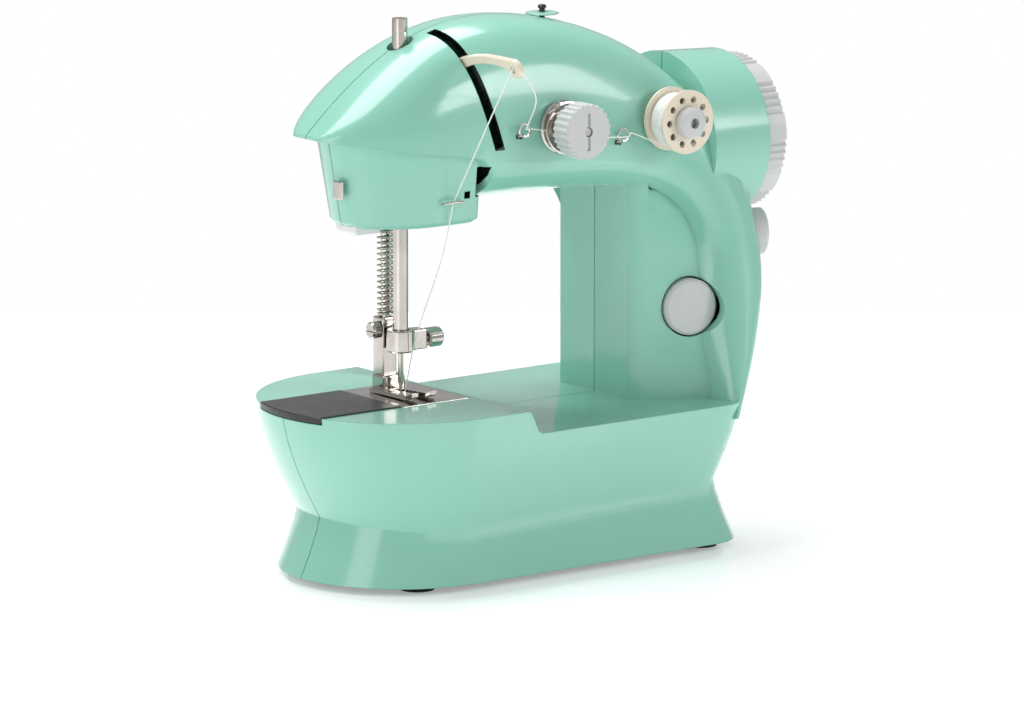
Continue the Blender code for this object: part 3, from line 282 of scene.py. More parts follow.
def plate_mesh(name, outline, thickness, bevel=0.0):
    """A flat outline in local XY, in millimetres, centred on local Z."""
    curve = bpy.data.curves.new(name, "CURVE")
    curve.dimensions = "2D"
    curve.fill_mode = "BOTH"
    curve.extrude = (thickness * 0.5 - bevel) * MM
    curve.bevel_depth = bevel * MM
    curve.bevel_resolution = 0
    curve.offset = -bevel * MM
    spline = curve.splines.new("POLY")
    spline.points.add(len(outline) - 1)
    spline.use_cyclic_u = True
    for knot, point in zip(spline.points, outline):
        knot.co = (point[0] * MM, point[1] * MM, 0.0, 1.0)
    obj = bpy.data.objects.new(name + "_outline", curve)
    bpy.context.scene.collection.objects.link(obj)
    mesh = baked(obj)
    bpy.data.objects.remove(obj)
    bpy.data.curves.remove(curve)
    return mesh


def arc(centre, radius, start, end, count):
    """Points of an arc in a plane, angles in degrees."""
    angles = np.radians(np.linspace(start, end, count))
    return [(centre[0] + radius * math.cos(a), centre[1] + radius * math.sin(a)) for a in angles]


def bezier(handles, t):
    p = np.array(handles, float)
    weights = ((1 - t) ** 3, 3 * t * (1 - t) ** 2, 3 * t * t * (1 - t), t**3)
    return sum(w * q for w, q in zip(weights, p))


def loft_mesh(name, rings):
    """A closed skin over rings of the same number of points, in millimetres, with flat ends."""
    bm = bmesh.new()
    rows = [[bm.verts.new(metres(point)) for point in ring] for ring in rings]
    for below, above in zip(rows, rows[1:]):
        for i in range(len(below)):
            j = (i + 1) % len(below)
            bm.faces.new((below[i], below[j], above[j], above[i]))
    ends = [bm.faces.new(rows[0]), bm.faces.new(rows[-1])]
    bmesh.ops.triangulate(bm, faces=ends)
    bmesh.ops.remove_doubles(bm, verts=bm.verts, dist=0.000001)
    return mesh_of(bm, name)


def piece(name, mesh, material, body=BODY, at=(0, 0, 0), turn=None):
    """A visible piece that rides on a body."""
    obj = bpy.data.objects.new(name, mesh)
    bpy.context.scene.collection.objects.link(obj)
    obj.matrix_world = Matrix.Translation(metres(at)) @ (turn or Matrix.Identity(4))
    mesh.materials.clear()
    mesh.materials.append(material)
    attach(obj, body)
    return obj


# ---------------------------------------------------------------- the two shells, at a fine step


def detail_for(inset):
    return HOLLOW_DETAIL if inset else OUTSIDE_DETAIL


def half_depth(z):
    return ARM_HALF_DEPTH + DEPTH_SLOPE * max(0.0, DEPTH_BREAK_Z - z)


def arm_ring(front, front_y, ridge, rear, rear_y, keel, inset):
    """One section of the head, arm or column: over the ridge, then back under by the keel."""
    front, ridge, rear, keel = (np.array(p, float) for p in (front, ridge, rear, keel))
    up_front = (ridge - front) / np.linalg.norm(ridge - front)
    up_rear = (ridge - rear) / np.linalg.norm(ridge - rear)
    up_keel = (ridge - keel) / np.linalg.norm(ridge - keel)
    top = ridge - up_keel * inset
    low_front, low_rear, low = front + up_front * inset, rear + up_rear * inset, keel + up_keel * inset
    front_y, rear_y = front_y - inset, rear_y - inset
    power = 2 / SQUARENESS
    detail = detail_for(inset)
    over = np.radians(np.linspace(0, 90, detail["over"] + 1))
    under = np.radians(np.linspace(0, 90, detail["under"] + 1))
    ring = []
    for a in over:
        side, rise = math.cos(a) ** power, math.sin(a) ** power
        x, z = low_front + (top - low_front) * rise
        ring.append((x, -front_y * side, z))
    for a in over[-2::-1]:
        side, rise = math.cos(a) ** power, math.sin(a) ** power
        x, z = low_rear + (top - low_rear) * rise
        ring.append((x, rear_y * side, z))
    for a in under[-2::-1]:
        x, z = low_rear + (low - low_rear) * math.cos(a)
        ring.append((x, rear_y * math.sin(a), z))
    for a in under[1:-1]:
        x, z = low_front + (low - low_front) * math.cos(a)
        ring.append((x, -front_y * math.sin(a), z))
    return ring


def head_edge_z(x):
    """Height of the hood's lower edge, which drops slowly towards the arm."""
    return NOSE[0][1] - 0.1602 * (x - NOSE[0][0])


def nose_rings(inset):
    rings = []
    start = 0.012 + inset * 0.030
    for t in np.linspace(math.sqrt(start), 1, detail_for(inset)["nose"] + 1) ** 2:
        ridge = bezier(NOSE, t)
        reach = min(1.0, max(0.0, (BASE_END_X - ridge[0]) / NOSE_PLAN[0]))
        depth = NOSE_PLAN[1] * math.sqrt(max(1 - reach**2, 0.0))
        if ridge[0] > BASE_END_X:
            depth += (ARM_HALF_DEPTH - NOSE_PLAN[1]) * (ridge[0] - BASE_END_X) / (NOSE[3][0] - BASE_END_X)
        edge = (ridge[0], head_edge_z(ridge[0]))
        blend = min(1.0, max(0.0, (ridge[0] + 33.5) / 3.5))
        keel = (ridge[0], edge[1] + (KEEL_ARM[0][1] - edge[1]) * blend)
        rings.append(arm_ring(edge, depth, ridge, edge, depth, keel, inset))
    return rings


def column_rings(inset):
    rings = []
    for outer, front, rear, keel, count in (
        (OUTER_ARM, FRONT_ARM, REAR_ARM, KEEL_ARM, detail_for(inset)["arm"]),
        (OUTER_COLUMN, FRONT_COLUMN, REAR_COLUMN, KEEL_COLUMN, detail_for(inset)["column"]),
    ):
        for t in np.linspace(0, 1, count + 1)[1:]:
            edge, back = bezier(front, t), bezier(rear, t)
            rings.append(
                arm_ring(
                    edge, half_depth(edge[1]), bezier(outer,
                        t), back, half_depth(back[1]), bezier(keel, t), inset
                )
            )
    return rings


def edge_x(arm, column, z):
    """Where a column edge stands at a height."""
    path = [bezier(arm, t) for t in np.linspace(0, 1, 40)] + [bezier(column, t) for t in np.linspace(0,
        1, 20)]
    path = np.array(path[::-1])
    return float(np.interp(z, path[:, 1], path[:, 0]))


def core_ring(z, inset):
    """A level section of the column between the slabs, with the scoops at its front and back."""
    corner_x, corner_y = CORE_CORNER
    deep = half_depth(z) - SCOOP_DEPTH - inset
    front = edge_x(FRONT_ARM, FRONT_COLUMN, z)
    rear = edge_x(REAR_ARM, REAR_COLUMN, z)
    half = [
        (THROAT_X + inset, 0.0),
        (THROAT_X + 0.6 + inset, 8.0),
        (corner_x - 3.2 + inset, corner_y - 3.0 - inset),
        (corner_x - 1.0 + inset, corner_y - 0.8 - inset),
        (corner_x + 2.6 + inset, corner_y + 0.6 - inset),
    ]
    points = [(x, -y) for x, y in half]
    points += [(front - 1.5 - inset, -deep), (front + 3.5, -deep), (front + 3.5, deep)]
    points += [(max(rear - 1.5, corner_x + 9.0) - inset, deep)]
    points += half[:0:-1]
    return [(x, y, z) for x, y in points]


def core_mesh(name, inset):
    return loft_mesh(name, [core_ring(z, inset) for z in (46.0, 60.0, 76.0, 90.0, 104.0, 118.0, 133.0)])


def base_ring(z, plan, inset, crease=0.0):
    """A level outline of the base: half an ellipse at the left, rounded corners at the right."""
    length, half_width, end = plan
    length, half_width, end = length - inset, half_width - inset, end - inset
    points = []
    for a in np.radians(np.linspace(90, 270, detail_for(inset)["round"])):
        points.append((BASE_END_X + length * math.cos(a), half_width * math.sin(a)))
    radius = 14.0 - inset
    for side, first in ((-1, -90), (1, 0)):
        centre = (end - radius, side * (half_width - radius))
        points += arc(centre, radius, first, first + 90, 6)
    span = end - (BASE_END_X - length)
    ring = []
    for x, y in points:
        along = (x - (BASE_END_X - length)) / span
        smile = crease * (1 - math.sin(math.pi * min(1.0, 0.12 + 0.82 * along)))
        ring.append((x, y, z + smile))
    return ring


def between(a, b, f):
    return tuple(p + (q - p) * f for p, q in zip(a, b))


def base_mesh(name, inset, bottom, top):
    waist, smile = 18.0, 8.0
    rings = [base_ring(bottom, BOTTOM_PLAN, inset)]
    for f in (0.45, 0.8):
        plan = between(BOTTOM_PLAN, WAIST_PLAN, 1 - (1 - f) ** 1.25)
        rings.append(base_ring(SKIRT_BOTTOM + (waist - SKIRT_BOTTOM) * f, plan, inset, smile * f))
    rings.append(base_ring(waist, WAIST_PLAN, inset, smile))
    for f in (0.12, 0.3, 0.5, 0.72, 0.9):
        plan = between(WAIST_PLAN, DECK_PLAN, 1 - (1 - f) ** 1.5)
        rings.append(base_ring(waist + (DECK_Z - waist) * f, plan, inset, smile * (1 - f)))
    rings.append(base_ring(top, DECK_PLAN, inset))
    return loft_mesh(name, rings)


def table_cutter(name, drop):
    """What is taken off the base over the lower table, with a rounded ramp up to the deck."""
    low, high = TABLE_Z - drop, DECK_Z + 20.0
    left = RAMP_TOP_X - drop
    outline = [(left - 0.6, high), (left - 0.6, DECK_Z + 0.02)]
    outline += [(left + 0.7, DECK_Z - 0.7), (RAMP_FOOT_X - drop - 1.6, low + 1.0)]
    outline += [(RAMP_FOOT_X - drop + 0.4, low), (130.0, low), (130.0, high)]
    mesh = plate_mesh(name, outline, 140.0)
    return cutter(name, mesh, turn=UPRIGHT)


def cup_ring(plan, z, right, inset=0.0):
    length, half_width = plan[0] - inset, plan[1] - inset
    ring = []
    for a in np.radians(np.linspace(90, 270, detail_for(inset)["round"])):
        ring.append((BASE_END_X + length * math.cos(a), half_width * math.sin(a), z))
    fillet = 3.0
    for side, first in ((-1, -90), (1, 0)):
        centre = (right - inset - fillet, side * (half_width - fillet))
        ring += [(x, y, z) for x, y in arc(centre, fillet, first, first + 90, 4)]
    return ring


def cup_mesh(name, inset, top):
    bottom = CUP_BOTTOM[2] + inset
    soft = (CUP_BOTTOM[0] - 1.2, CUP_BOTTOM[1] - 1.2)
    low = (CUP_BOTTOM[0] + 0.2, CUP_BOTTOM[1] + 0.2)
    rings = [cup_ring(soft, bottom, CUP_RIGHT_X - 1.2, inset),
        cup_ring(low, bottom + 1.3, CUP_RIGHT_X, inset)]
    rings.append(cup_ring(CUP_TOP, top, CUP_RIGHT_X, inset))
    return loft_mesh(name, rings)


def x_rod(name, radius, low, high, y=0.0, z=SHAFT_Z, sides=24, top_radius=None):
    return cutter(name, rod_mesh(name, radius, low, high, sides, top_radius), (0, y, z), ALONG_X)


def z_rod(name, radius, low, high, x, y=0.0, sides=20):
    return cutter(name, rod_mesh(name, radius, low, high, sides), (x, y, 0))


def block(name, low, high, bevel=0.0):
    return cutter(name, box_mesh(name, low, high, bevel))


def outer_form():
    return loft_mesh("body_form", nose_rings(0.0) + column_rings(0.0))


class Skin:
    """Finds where a straight line first meets the outside of the head, arm and column."""

    def __init__(self):
        bm = bmesh.new()
        mesh = outer_form()
        bm.from_mesh(mesh)
        self.tree = BVHTree.FromBMesh(bm)
        bm.free()
        bpy.data.meshes.remove(mesh)

    def hit(self, start, direction):
        place, normal, _, _ = self.tree.ray_cast(metres(start), Vector(direction))
        return place / MM, normal


SHELL_SOLVER = "MANIFOLD"  # EXACT leaves open edges where these thin walls nearly coincide


def shell(name, side, skin):
    """One moulded half: side -1 is the front and +1 the rear."""
    body = cutter(name, outer_form())
    base = cutter(name + "_base", base_mesh(name + "_base", 0.0, SKIRT_BOTTOM, DECK_Z))
    combine(base, "DIFFERENCE", table_cutter(name + "_table", 0.0), solver=SHELL_SOLVER)
    core = cutter(name + "_core", core_mesh(name + "_core", 0.0))
    cup = cutter(name + "_cup", cup_mesh(name + "_cup", 0.0, CUP_TOP[2]))
    housing = x_rod(name + "_housing", HOUSING_RADIUS + 1.2, 64.0, HOUSING_END_X, sides=56,
        top_radius=HOUSING_RADIUS)
    combine(body, "UNION", core, base, cup, housing, solver=SHELL_SOLVER)

    hollow = cutter(name + "_hollow", loft_mesh(name + "_hollow", nose_rings(WALL) + column_rings(WALL)))
    base_hollow = cutter(name + "_base_hollow", base_mesh(name + "_base_hollow", WALL, -1.0,
        DECK_Z - 3.4))
    combine(base_hollow, "DIFFERENCE", table_cutter(name + "_under_table", WALL), solver=SHELL_SOLVER)
    core_hollow = cutter(name + "_core_hollow", core_mesh(name + "_core_hollow", WALL))
    cup_hollow = cutter(name + "_cup_hollow", cup_mesh(name + "_cup_hollow", WALL, CUP_TOP[2] + 2.0))
    bore = x_rod(name + "_bore", HOUSING_RADIUS - WALL, 69.0, HOUSING_END_X - WALL, sides=40)
    combine(body, "DIFFERENCE", hollow, core_hollow, base_hollow, cup_hollow, bore, solver=SHELL_SOLVER)

    openings = [
        z_rod(name + "_needle_top", 4.5, 170.0, 200.0, NEEDLE_X),
        z_rod(name + "_needle_floor", 3.4, 116.0, 130.0, NEEDLE_X),
        x_rod(name + "_shaft_hole", 4.6, 80.0, 95.0),
        z_rod(name + "_hook_hole", 12.0, 54.0, 66.0, HOOK_X, sides=28),
        block(name + "_feed_hole", (-57.0, -13.0, 54.0), (-36.0, 13.0, 66.0)),
        block(name + "_plate_seat", (-61.3, -18.3, 59.4), (-32.7, 18.3, 66.0)),
        block(name + "_cover_seat", (-110.0, -17.9, 59.1), (-61.2, 17.9, 66.0)),
        z_rod(name + "_pin_hole", 2.0, 180.0, 196.0, SPOOL_PIN_X),
        block(name + "_drive_passage", (-36.0, -12.5, 132.0), (-22.0, 12.5, 151.5)),
        block(name + "_column_passage", (46.0, -19.2, 116.0), (58.0, 19.2, 130.0)),
        block(name + "_lens_hole", (-72.3, -6.3, 116.0), (-60.7, 6.3, 130.0)),
    ]
    if side < 0:
        openings += front_openings(name, skin)
    else:
        openings += rear_openings(name, skin)
    combine(body, "DIFFERENCE", *openings, solver=SHELL_SOLVER)
    low, high = (-80.0, -SEAM) if side < 0 else (SEAM, 80.0)
    combine(body, "INTERSECT", block(name + "_half", (-120.0, low, -5.0), (120.0, high, 210.0)),
        solver=SHELL_SOLVER)
    return body


def aimed_rod(name, radius, low, high, at, axis, sides=28):
    return cutter(name, rod_mesh(name, radius, low, high, sides), at, aim(axis))


def front_openings(name, skin):
    slot = box_mesh(name + "_slot_high", (-SLOT_HALF_WIDTH, -60.0, -9.9), (SLOT_HALF_WIDTH, -4.0, 31.0))
    made = [
        block(name + "_cup_window", (-38.7, -30.0, 131.3), (-36.3, -19.0, 133.7)),
        cutter(name + "_slot_high", slot, (SLOT_MIDDLE[0], 0.0, SLOT_MIDDLE[1]), SLOT_LEAN),
        block(name + "_slot_low", (LOW_SLOT[0], -60.0, 131.5), (LOW_SLOT[1], -6.3, 141.7)),
    ]
    for label, (place, axis, radius) in (("front", FRONT_BUTTON), ("side", SIDE_BUTTON)):
        made.append(aimed_rod(name + "_" + label + "_hole", radius + 0.6, -9.0, 9.0, place, axis))
    for label, (x, z) in (("tension", TENSION), ("spool", SPOOL)):
        face = skin.hit((x, -90, z), (0, 1, 0))[0]
        made.append(aimed_rod(name + "_" + label + "_hole", 1.8, -6.0, 8.0, face, (0, -1, 0), 16))
    return made


def rear_wall(x, z, skin):
    """How far back the rear shell reaches, on the arm or on the base."""
    if z > TABLE_Z:
        return skin.hit((x, 90, z), (0, -1, 0))[0].y
    rise = (z - 18.0) / (DECK_Z - 18.0)
    return between(WAIST_PLAN, DECK_PLAN, 1 - (1 - rise) ** 1.5)[1]


def rear_openings(name, skin):
    made = [z_rod(name + "_presser_floor", 3.1, 116.0, 130.0, NEEDLE_X, PRESSER_Y)]
    made.append(block(name + "_lifter_slot", (-52.4, 12.0, 133.0), (-45.4, 60.0, 153.0)))
    for i, (x, z) in enumerate(SCREW_SPOTS):
        wall = rear_wall(x, z, skin)
        made.append(aimed_rod(f"{name}_head_hole_{i}", 3.3, -1.3, 12.0, (x, wall, z), (0, 1, 0), 20))
        made.append(aimed_rod(f"{name}_screw_hole_{i}", 1.7, -8.0, 2.0, (x, wall, z), (0, 1, 0), 16))
    for i, (x, z) in enumerate(JACK_SPOTS):
        made.append(aimed_rod(f"{name}_jack_hole_{i}", 5.0, -9.0, 12.0, (x, rear_wall(x, z, skin), z),
            (0, 1, 0)))
    return made


# ---------------------------------------------------------------- camera, floor and light


def add_camera():
    a, e = math.radians(AZIMUTH), math.radians(ELEVATION)
    back = Vector((math.sin(a) * math.cos(e), -math.cos(a) * math.cos(e), math.sin(e)))
    data = bpy.data.cameras.new("camera")
    data.lens = LENS
    data.sensor_width = 36.0
    data.clip_end = 50.0
    camera = bpy.data.objects.new("camera", data)
    bpy.context.scene.collection.objects.link(camera)
    camera.location = LOOK_AT + back * DISTANCE
    camera.rotation_euler = back.to_track_quat("Z", "Y").to_euler()
    bpy.context.scene.camera = camera


def add_area(name, place, size, power, colour=(1.0, 1.0, 1.0), target=(0.0, 0.0, 0.09)):
    data = bpy.data.lights.new(name, "AREA")
    data.shape = "RECTANGLE"
    data.size, data.size_y = size
    data.energy = power
    data.color = colour
    light = bpy.data.objects.new(name, data)
    bpy.context.scene.collection.objects.link(light)
    light.location = place
    light.rotation_euler = (Vector(place) - Vector(target)).to_track_quat("Z", "Y").to_euler()


def add_light():
    """White all round for the eye, dimmer as light, with one large soft box above and behind."""
    world = bpy.data.worlds.new("studio")
    world.use_nodes = True
    tree = world.node_tree
    background = tree.nodes["Background"]
    background.inputs["Color"].default_value = (1.0, 1.0, 1.0, 1.0)
    seen = tree.nodes.new("ShaderNodeLightPath")
    level = tree.nodes.new("ShaderNodeMapRange")
    level.inputs["To Min"].default_value = 0.42
    level.inputs["To Max"].default_value = 1.0
    tree.links.new(seen.outputs["Is Camera Ray"], level.inputs["Value"])
    tree.links.new(level.outputs["Result"], background.inputs["Strength"])
    bpy.context.scene.world = world
    add_area("top_box", (-0.05, 0.25, 0.85), (0.9, 0.5), 8.0)
    add_area("left_box", (-0.95, -0.15, 0.35), (0.4, 0.7), 2.0)
    add_area("low_front_box", (0.75, -1.00, 0.55), (0.5, 0.4), 4.2)


def add_floor():
    """A glossy white table, bright enough to run into the white behind it."""
    bm = bmesh.new()
    corners = [bm.verts.new((x, y, 0.0)) for x, y in ((-4, -5), (4, -5), (4, 0.45), (-4, 0.45))]
    bm.faces.new(corners)
    mesh = bpy.data.meshes.new("floor")
    bm.to_mesh(mesh)
    bm.free()
    floor = bpy.data.objects.new("floor", mesh)
    bpy.context.scene.collection.objects.link(floor)
    floor.rotation_euler = (0.0, 0.0, math.radians(AZIMUTH))
    material, shader, tree = new_material("floor_white", (0.95, 0.955, 0.96), 0.12)
    speckle = spread(tree, noise(tree, 8.0, 3.0), 0.10, 0.15)
    tree.links.new(speckle, shader.inputs["Roughness"])
    shader.inputs["Emission Color"].default_value = (1.0, 1.0, 1.0, 1.0)
    shader.inputs["Emission Strength"].default_value = 0.30
    mesh.materials.append(material)


# ---------------------------------------------------------------- materials


def new_material(name, colour, roughness, metallic=0.0):
    material = bpy.data.materials.new(name)
    material.use_nodes = True
    tree = material.node_tree
    shader = tree.nodes["Principled BSDF"]
    shader.inputs["Base Color"].default_value = (*colour, 1.0)
    shader.inputs["Roughness"].default_value = roughness
    shader.inputs["Metallic"].default_value = metallic
    return material, shader, tree


def noise(tree, scale, detail=3.0, stretch=None):
    """Solid noise in object space, with the mesh's own metres."""
    place = tree.nodes.new("ShaderNodeTexCoord")
    texture = tree.nodes.new("ShaderNodeTexNoise")
    texture.inputs["Scale"].default_value = scale
    texture.inputs["Detail"].default_value = detail
    source = place.outputs["Object"]
    if stretch:
        mapping = tree.nodes.new("ShaderNodeMapping")
        mapping.inputs["Scale"].default_value = stretch
        tree.links.new(source, mapping.inputs["Vector"])
        source = mapping.outputs["Vector"]
    tree.links.new(source, texture.inputs["Vector"])
    return texture.outputs["Fac"]


def spread(tree, value, low, high):
    """Remaps noise to a range."""
    remap = tree.nodes.new("ShaderNodeMapRange")
    remap.inputs["From Min"].default_value = 0.3
    remap.inputs["From Max"].default_value = 0.7
    remap.inputs["To Min"].default_value = low
    remap.inputs["To Max"].default_value = high
    tree.links.new(value, remap.inputs["Value"])
    return remap.outputs["Result"]


def two_tone(tree, value, first, second):
    mix = tree.nodes.new("ShaderNodeMix")
    mix.data_type = "RGBA"
    mix.inputs["A"].default_value = (*first, 1.0)
    mix.inputs["B"].default_value = (*second, 1.0)
    tree.links.new(value, mix.inputs["Factor"])
    return mix.outputs["Result"]


def math_node(tree, operation, first, second=None):
    node = tree.nodes.new("ShaderNodeMath")
    node.operation = operation
    for socket, value in zip(node.inputs, (first, second)):
        if isinstance(value, (int, float)):
            socket.default_value = value
        elif value is not None:
            tree.links.new(value, socket)
    return node.outputs["Value"]


def bump(tree, shader, height, strength, distance, edge=0.0):
    """Fine relief, over edges that catch the light as if their corners were rounded."""
    node = tree.nodes.new("ShaderNodeBump")
    node.inputs["Strength"].default_value = strength
    node.inputs["Distance"].default_value = distance
    tree.links.new(height, node.inputs["Height"])
    if edge:
        soft = tree.nodes.new("ShaderNodeBevel")
        soft.samples = 4
        soft.inputs["Radius"].default_value = edge
        tree.links.new(soft.outputs["Normal"], node.inputs["Normal"])
    tree.links.new(node.outputs["Normal"], shader.inputs["Normal"])


def moulded(name, light, dark, gloss, grain=900.0, grain_depth=0.00002, coat=0.0, mottle=14.0,
    edge=0.0002):
    """Injection-moulded plastic: a slow change of tone, a fine skin and uneven gloss."""
    material, shader, tree = new_material(name, light, gloss)
    tone = spread(tree, noise(tree, mottle, 4.0), 0.0, 1.0)
    tree.links.new(two_tone(tree, tone, light, dark), shader.inputs["Base Color"])
    tree.links.new(spread(tree, noise(tree, 60.0, 5.0), gloss * 0.82, gloss * 1.25),
        shader.inputs["Roughness"])
    bump(tree, shader, noise(tree, grain, 2.0), 0.25, grain_depth, edge)
    shader.inputs["Coat Weight"].default_value = coat
    shader.inputs["Coat Roughness"].default_value = 0.08
    return material


def metal(name, light, dark, roughness, stretch=(1.0, 1.0, 1.0), scratch=350.0):
    """Plated or turned metal: a faint brushed direction and cloudy reflections."""
    material, shader, tree = new_material(name, light, roughness, 1.0)
    tone = spread(tree, noise(tree, 90.0, 4.0), 0.0, 1.0)
    tree.links.new(two_tone(tree, tone, light, dark), shader.inputs["Base Color"])
    brushed = noise(tree, scratch, 6.0, stretch)
    tree.links.new(spread(tree, brushed, roughness * 0.6, roughness * 1.6), shader.inputs["Roughness"])
    bump(tree, shader, brushed, 0.12, 0.00002, 0.00015)
    return material


def between_planes(tree, direction, middle, half):
    """1 inside a slab: within half of the middle plane along a direction, all in metres."""
    place = tree.nodes.new("ShaderNodeTexCoord")
    dot = tree.nodes.new("ShaderNodeVectorMath")
    dot.operation = "DOT_PRODUCT"
    dot.inputs[1].default_value = direction
    tree.links.new(place.outputs["Object"], dot.inputs[0])
    away = math_node(tree, "ABSOLUTE", math_node(tree, "SUBTRACT", dot.outputs["Value"], middle))
    return math_node(tree, "LESS_THAN", away, half)


def painted_slot_shade_mask(tree):
    """1 where shade is painted: on the walls inside the slots and the small window of the head."""
    lean = SLOT_LEAN @ Vector((1, 0, 0))
    centre = Vector((SLOT_MIDDLE[0], 0.0, SLOT_MIDDLE[1])) * MM
    high = between_planes(tree, lean, centre.dot(lean), (SLOT_HALF_WIDTH + 0.03) * MM)
    high = math_node(tree, "MULTIPLY", high, between_planes(tree, (0, 0, 1), 0.1672, 0.0200))
    low = between_planes(tree, (1, 0, 0), sum(LOW_SLOT) * 0.5 * MM,
        (LOW_SLOT[1] - LOW_SLOT[0] + 0.1) * 0.5 * MM)
    low = math_node(tree, "MULTIPLY", low, between_planes(tree, (0, 0, 1), 0.1366, 0.0052))
    window = between_planes(tree, (1, 0, 0), -0.0375, 0.00122)
    window = math_node(tree, "MULTIPLY", window, between_planes(tree, (0, 0, 1), 0.1325, 0.00122))
    both = math_node(tree, "MAXIMUM", math_node(tree, "MAXIMUM", high, low), window)
    front = between_planes(tree, (0, 1, 0), -0.030, 0.0262)
    return math_node(tree, "MULTIPLY", both, front)


def mint_shell():
    """Glossy mint plastic, with painted shade on the walls inside the slots of the head."""
    material = moulded("mint_shell", *MINT_TONES, 0.2, 1400.0, 0.000006, 0.4, 9.0, 0.0006)
    tree = material.node_tree
    shader = tree.nodes["Principled BSDF"]
    painted = shader.inputs["Base Color"].links[0].from_socket
    # painted shade: the walls inside the slots take a near-black colour in place of the mint
    mix = tree.nodes.new("ShaderNodeMix")
    mix.data_type = "RGBA"
    tree.links.new(painted_slot_shade_mask(tree), mix.inputs["Factor"])
    tree.links.new(painted, mix.inputs["A"])
    mix.inputs["B"].default_value = PAINTED_SLOT_SHADE
    tree.links.new(mix.outputs["Result"], shader.inputs["Base Color"])
    return material


def thread_material():
    """White spun thread: a fine twisted relief and a soft sheen."""
    material, shader, tree = new_material("white_thread", (0.86, 0.88, 0.86), 0.7)
    tone = spread(tree, noise(tree, 900.0, 3.0), 0.0, 1.0)
    tree.links.new(two_tone(tree, tone, *THREAD_TONES), shader.inputs["Base Color"])
    bump(tree, shader, noise(tree, 6000.0, 2.0, (1.0, 1.0, 0.4)), 0.6, 0.00005)
    shader.inputs["Sheen Weight"].default_value = 0.4
    return material


MINT = mint_shell()
DARK = moulded("dark_moulding", *DARK_TONES, 0.34, 1800.0, 0.00003, 0.2)
GREY = moulded("grey_moulding", *GREY_TONES, 0.38, 2200.0, 0.00002, 0.1)
CREAM = moulded("cream_nylon", *CREAM_TONES, 0.26, 1600.0, 0.00001, 0.25)
RUBBER = moulded("rubber", *RUBBER_TONES, 0.8, 2600.0, 0.00004)
LENS_WHITE = moulded("frosted_lens", *LENS_TONES, 0.25, 1500.0, 0.00002, 0.3)
CHROME = metal("nickel_plate", *NICKEL_TONES, 0.14, (1.0, 1.0, 0.08))
STEEL = metal("turned_steel", *STEEL_TONES, 0.34, (0.1, 1.0, 1.0))
BRASS = metal("bronze_bush", *BRONZE_TONES, 0.36)
THREAD = thread_material()

SLOT_MATERIALS = {
    "mint_plastic": MINT,
    "dark_plastic": DARK,
    "rubber": RUBBER,
    "chrome": CHROME,
    "steel": STEEL,
    "brass": BRASS,
    "cream_plastic": CREAM,
    "grey_plastic": GREY,
    "lamp_plastic": LENS_WHITE,
}


def dress_nodes():
    """Gives every CAD node its material, and smooth shading that keeps its edges crisp."""
    slots = {row["node"]: row["material_slot"] for row in frame["record"]["subparts"]}
    for name, node in NODES.items():
        node.data.materials.clear()
        node.data.materials.append(SLOT_MATERIALS[slots[name]])
        node.data.shade_smooth()
        node.data.set_sharp_from_angle(angle=math.radians(SHARP_DEGREES))


# ---------------------------------------------------------------- pieces made finer than the CAD solids


def fine_shells():
    """The shells again from the same curves, with smaller steps; the helpers then go."""
    for name, side in (("front_shell", -1), ("rear_shell", 1)):
        fine = piece(name + "_skin", baked(shell(name + "_form", side, SURFACE)), MINT)
        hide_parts(name)
    for helper in list(helpers.objects):
        bpy.data.objects.remove(helper)
    bpy.data.collections.remove(helpers)


def presser_spring():
    """The coil round the presser bar, in round wire, with closed ends."""
    low, high = (v[2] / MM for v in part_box("presser_spring"))
    low, high = low + SPRING_WIRE, high - SPRING_WIRE
    points = []
    for i in range(SPRING_TURNS * COIL_STEPS + 1):
        a = 2 * math.pi * i / COIL_STEPS
        turn = i / COIL_STEPS
        closed = 2 * SPRING_WIRE * (min(turn, 1) + max(turn - (SPRING_TURNS - 1), 0))
        open_share = min(max(turn - 1, 0), SPRING_TURNS - 2) / (SPRING_TURNS - 2)
        z = low + closed + (high - low - 4 * SPRING_WIRE) * open_share
        points.append((NEEDLE_X + SPRING_RADIUS * math.cos(a), PRESSER_Y + SPRING_RADIUS * math.sin(a),
            z))
    mesh = tube_mesh("presser_coil", points, SPRING_WIRE, 2)
    spring = piece("presser_coil", mesh, CHROME, "presser_group")
    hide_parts("presser_spring")


def centre_of(node):
    """The middle of a node's box, in millimetres."""
    low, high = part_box(node)
    return [(a + b) * 0.5 / MM for a, b in zip(low, high)]


def wound_thread():
    """Thread wound on the upper bobbin, as one long helix that goes over and back."""
    x, _, z = centre_of("upper_bobbin")
    near, far = (v[1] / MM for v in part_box("upper_bobbin"))
    near, far = near + 1.5, far - 1.5
    points = []
    for layer, radius in enumerate(WOUND_LAYERS):
        for i in range(WOUND_TURNS * COIL_STEPS):
            share = i / (WOUND_TURNS * COIL_STEPS)
            y = near + (far - near) * (share if layer % 2 else 1 - share)
            a = 2 * math.pi * i / COIL_STEPS
            points.append((x + radius * math.cos(a), y, z + radius * math.sin(a)))
    mesh = tube_mesh("spool_thread", points, WOUND_RADIUS, 1)
    winding = piece("spool_thread", mesh, THREAD, "upper_bobbin_group")


def wall_y(x, z):
    """Where the front of the arm stands at a place."""
    return SURFACE.hit((x, -90, z), (0, 1, 0))[0].y


def smooth_path(knots, per_span=8):
    """A Catmull-Rom curve through the knots."""
    pts = [np.array(p, float) for p in knots]
    pts = [2 * pts[0] - pts[1]] + pts + [2 * pts[-1] - pts[-2]]
    out = []
    for a, b, c, d in zip(pts, pts[1:], pts[2:], pts[3:]):
        for t in np.linspace(0, 1, per_span, endpoint=False):
            square = (2 * a - 5 * b + 4 * c - d) * t**2
            cube = (3 * b - a - 3 * c + d) * t**3
            out.append(0.5 * (2 * b + (c - a) * t + square + cube))
    return [tuple(p) for p in out + [pts[-2]]]


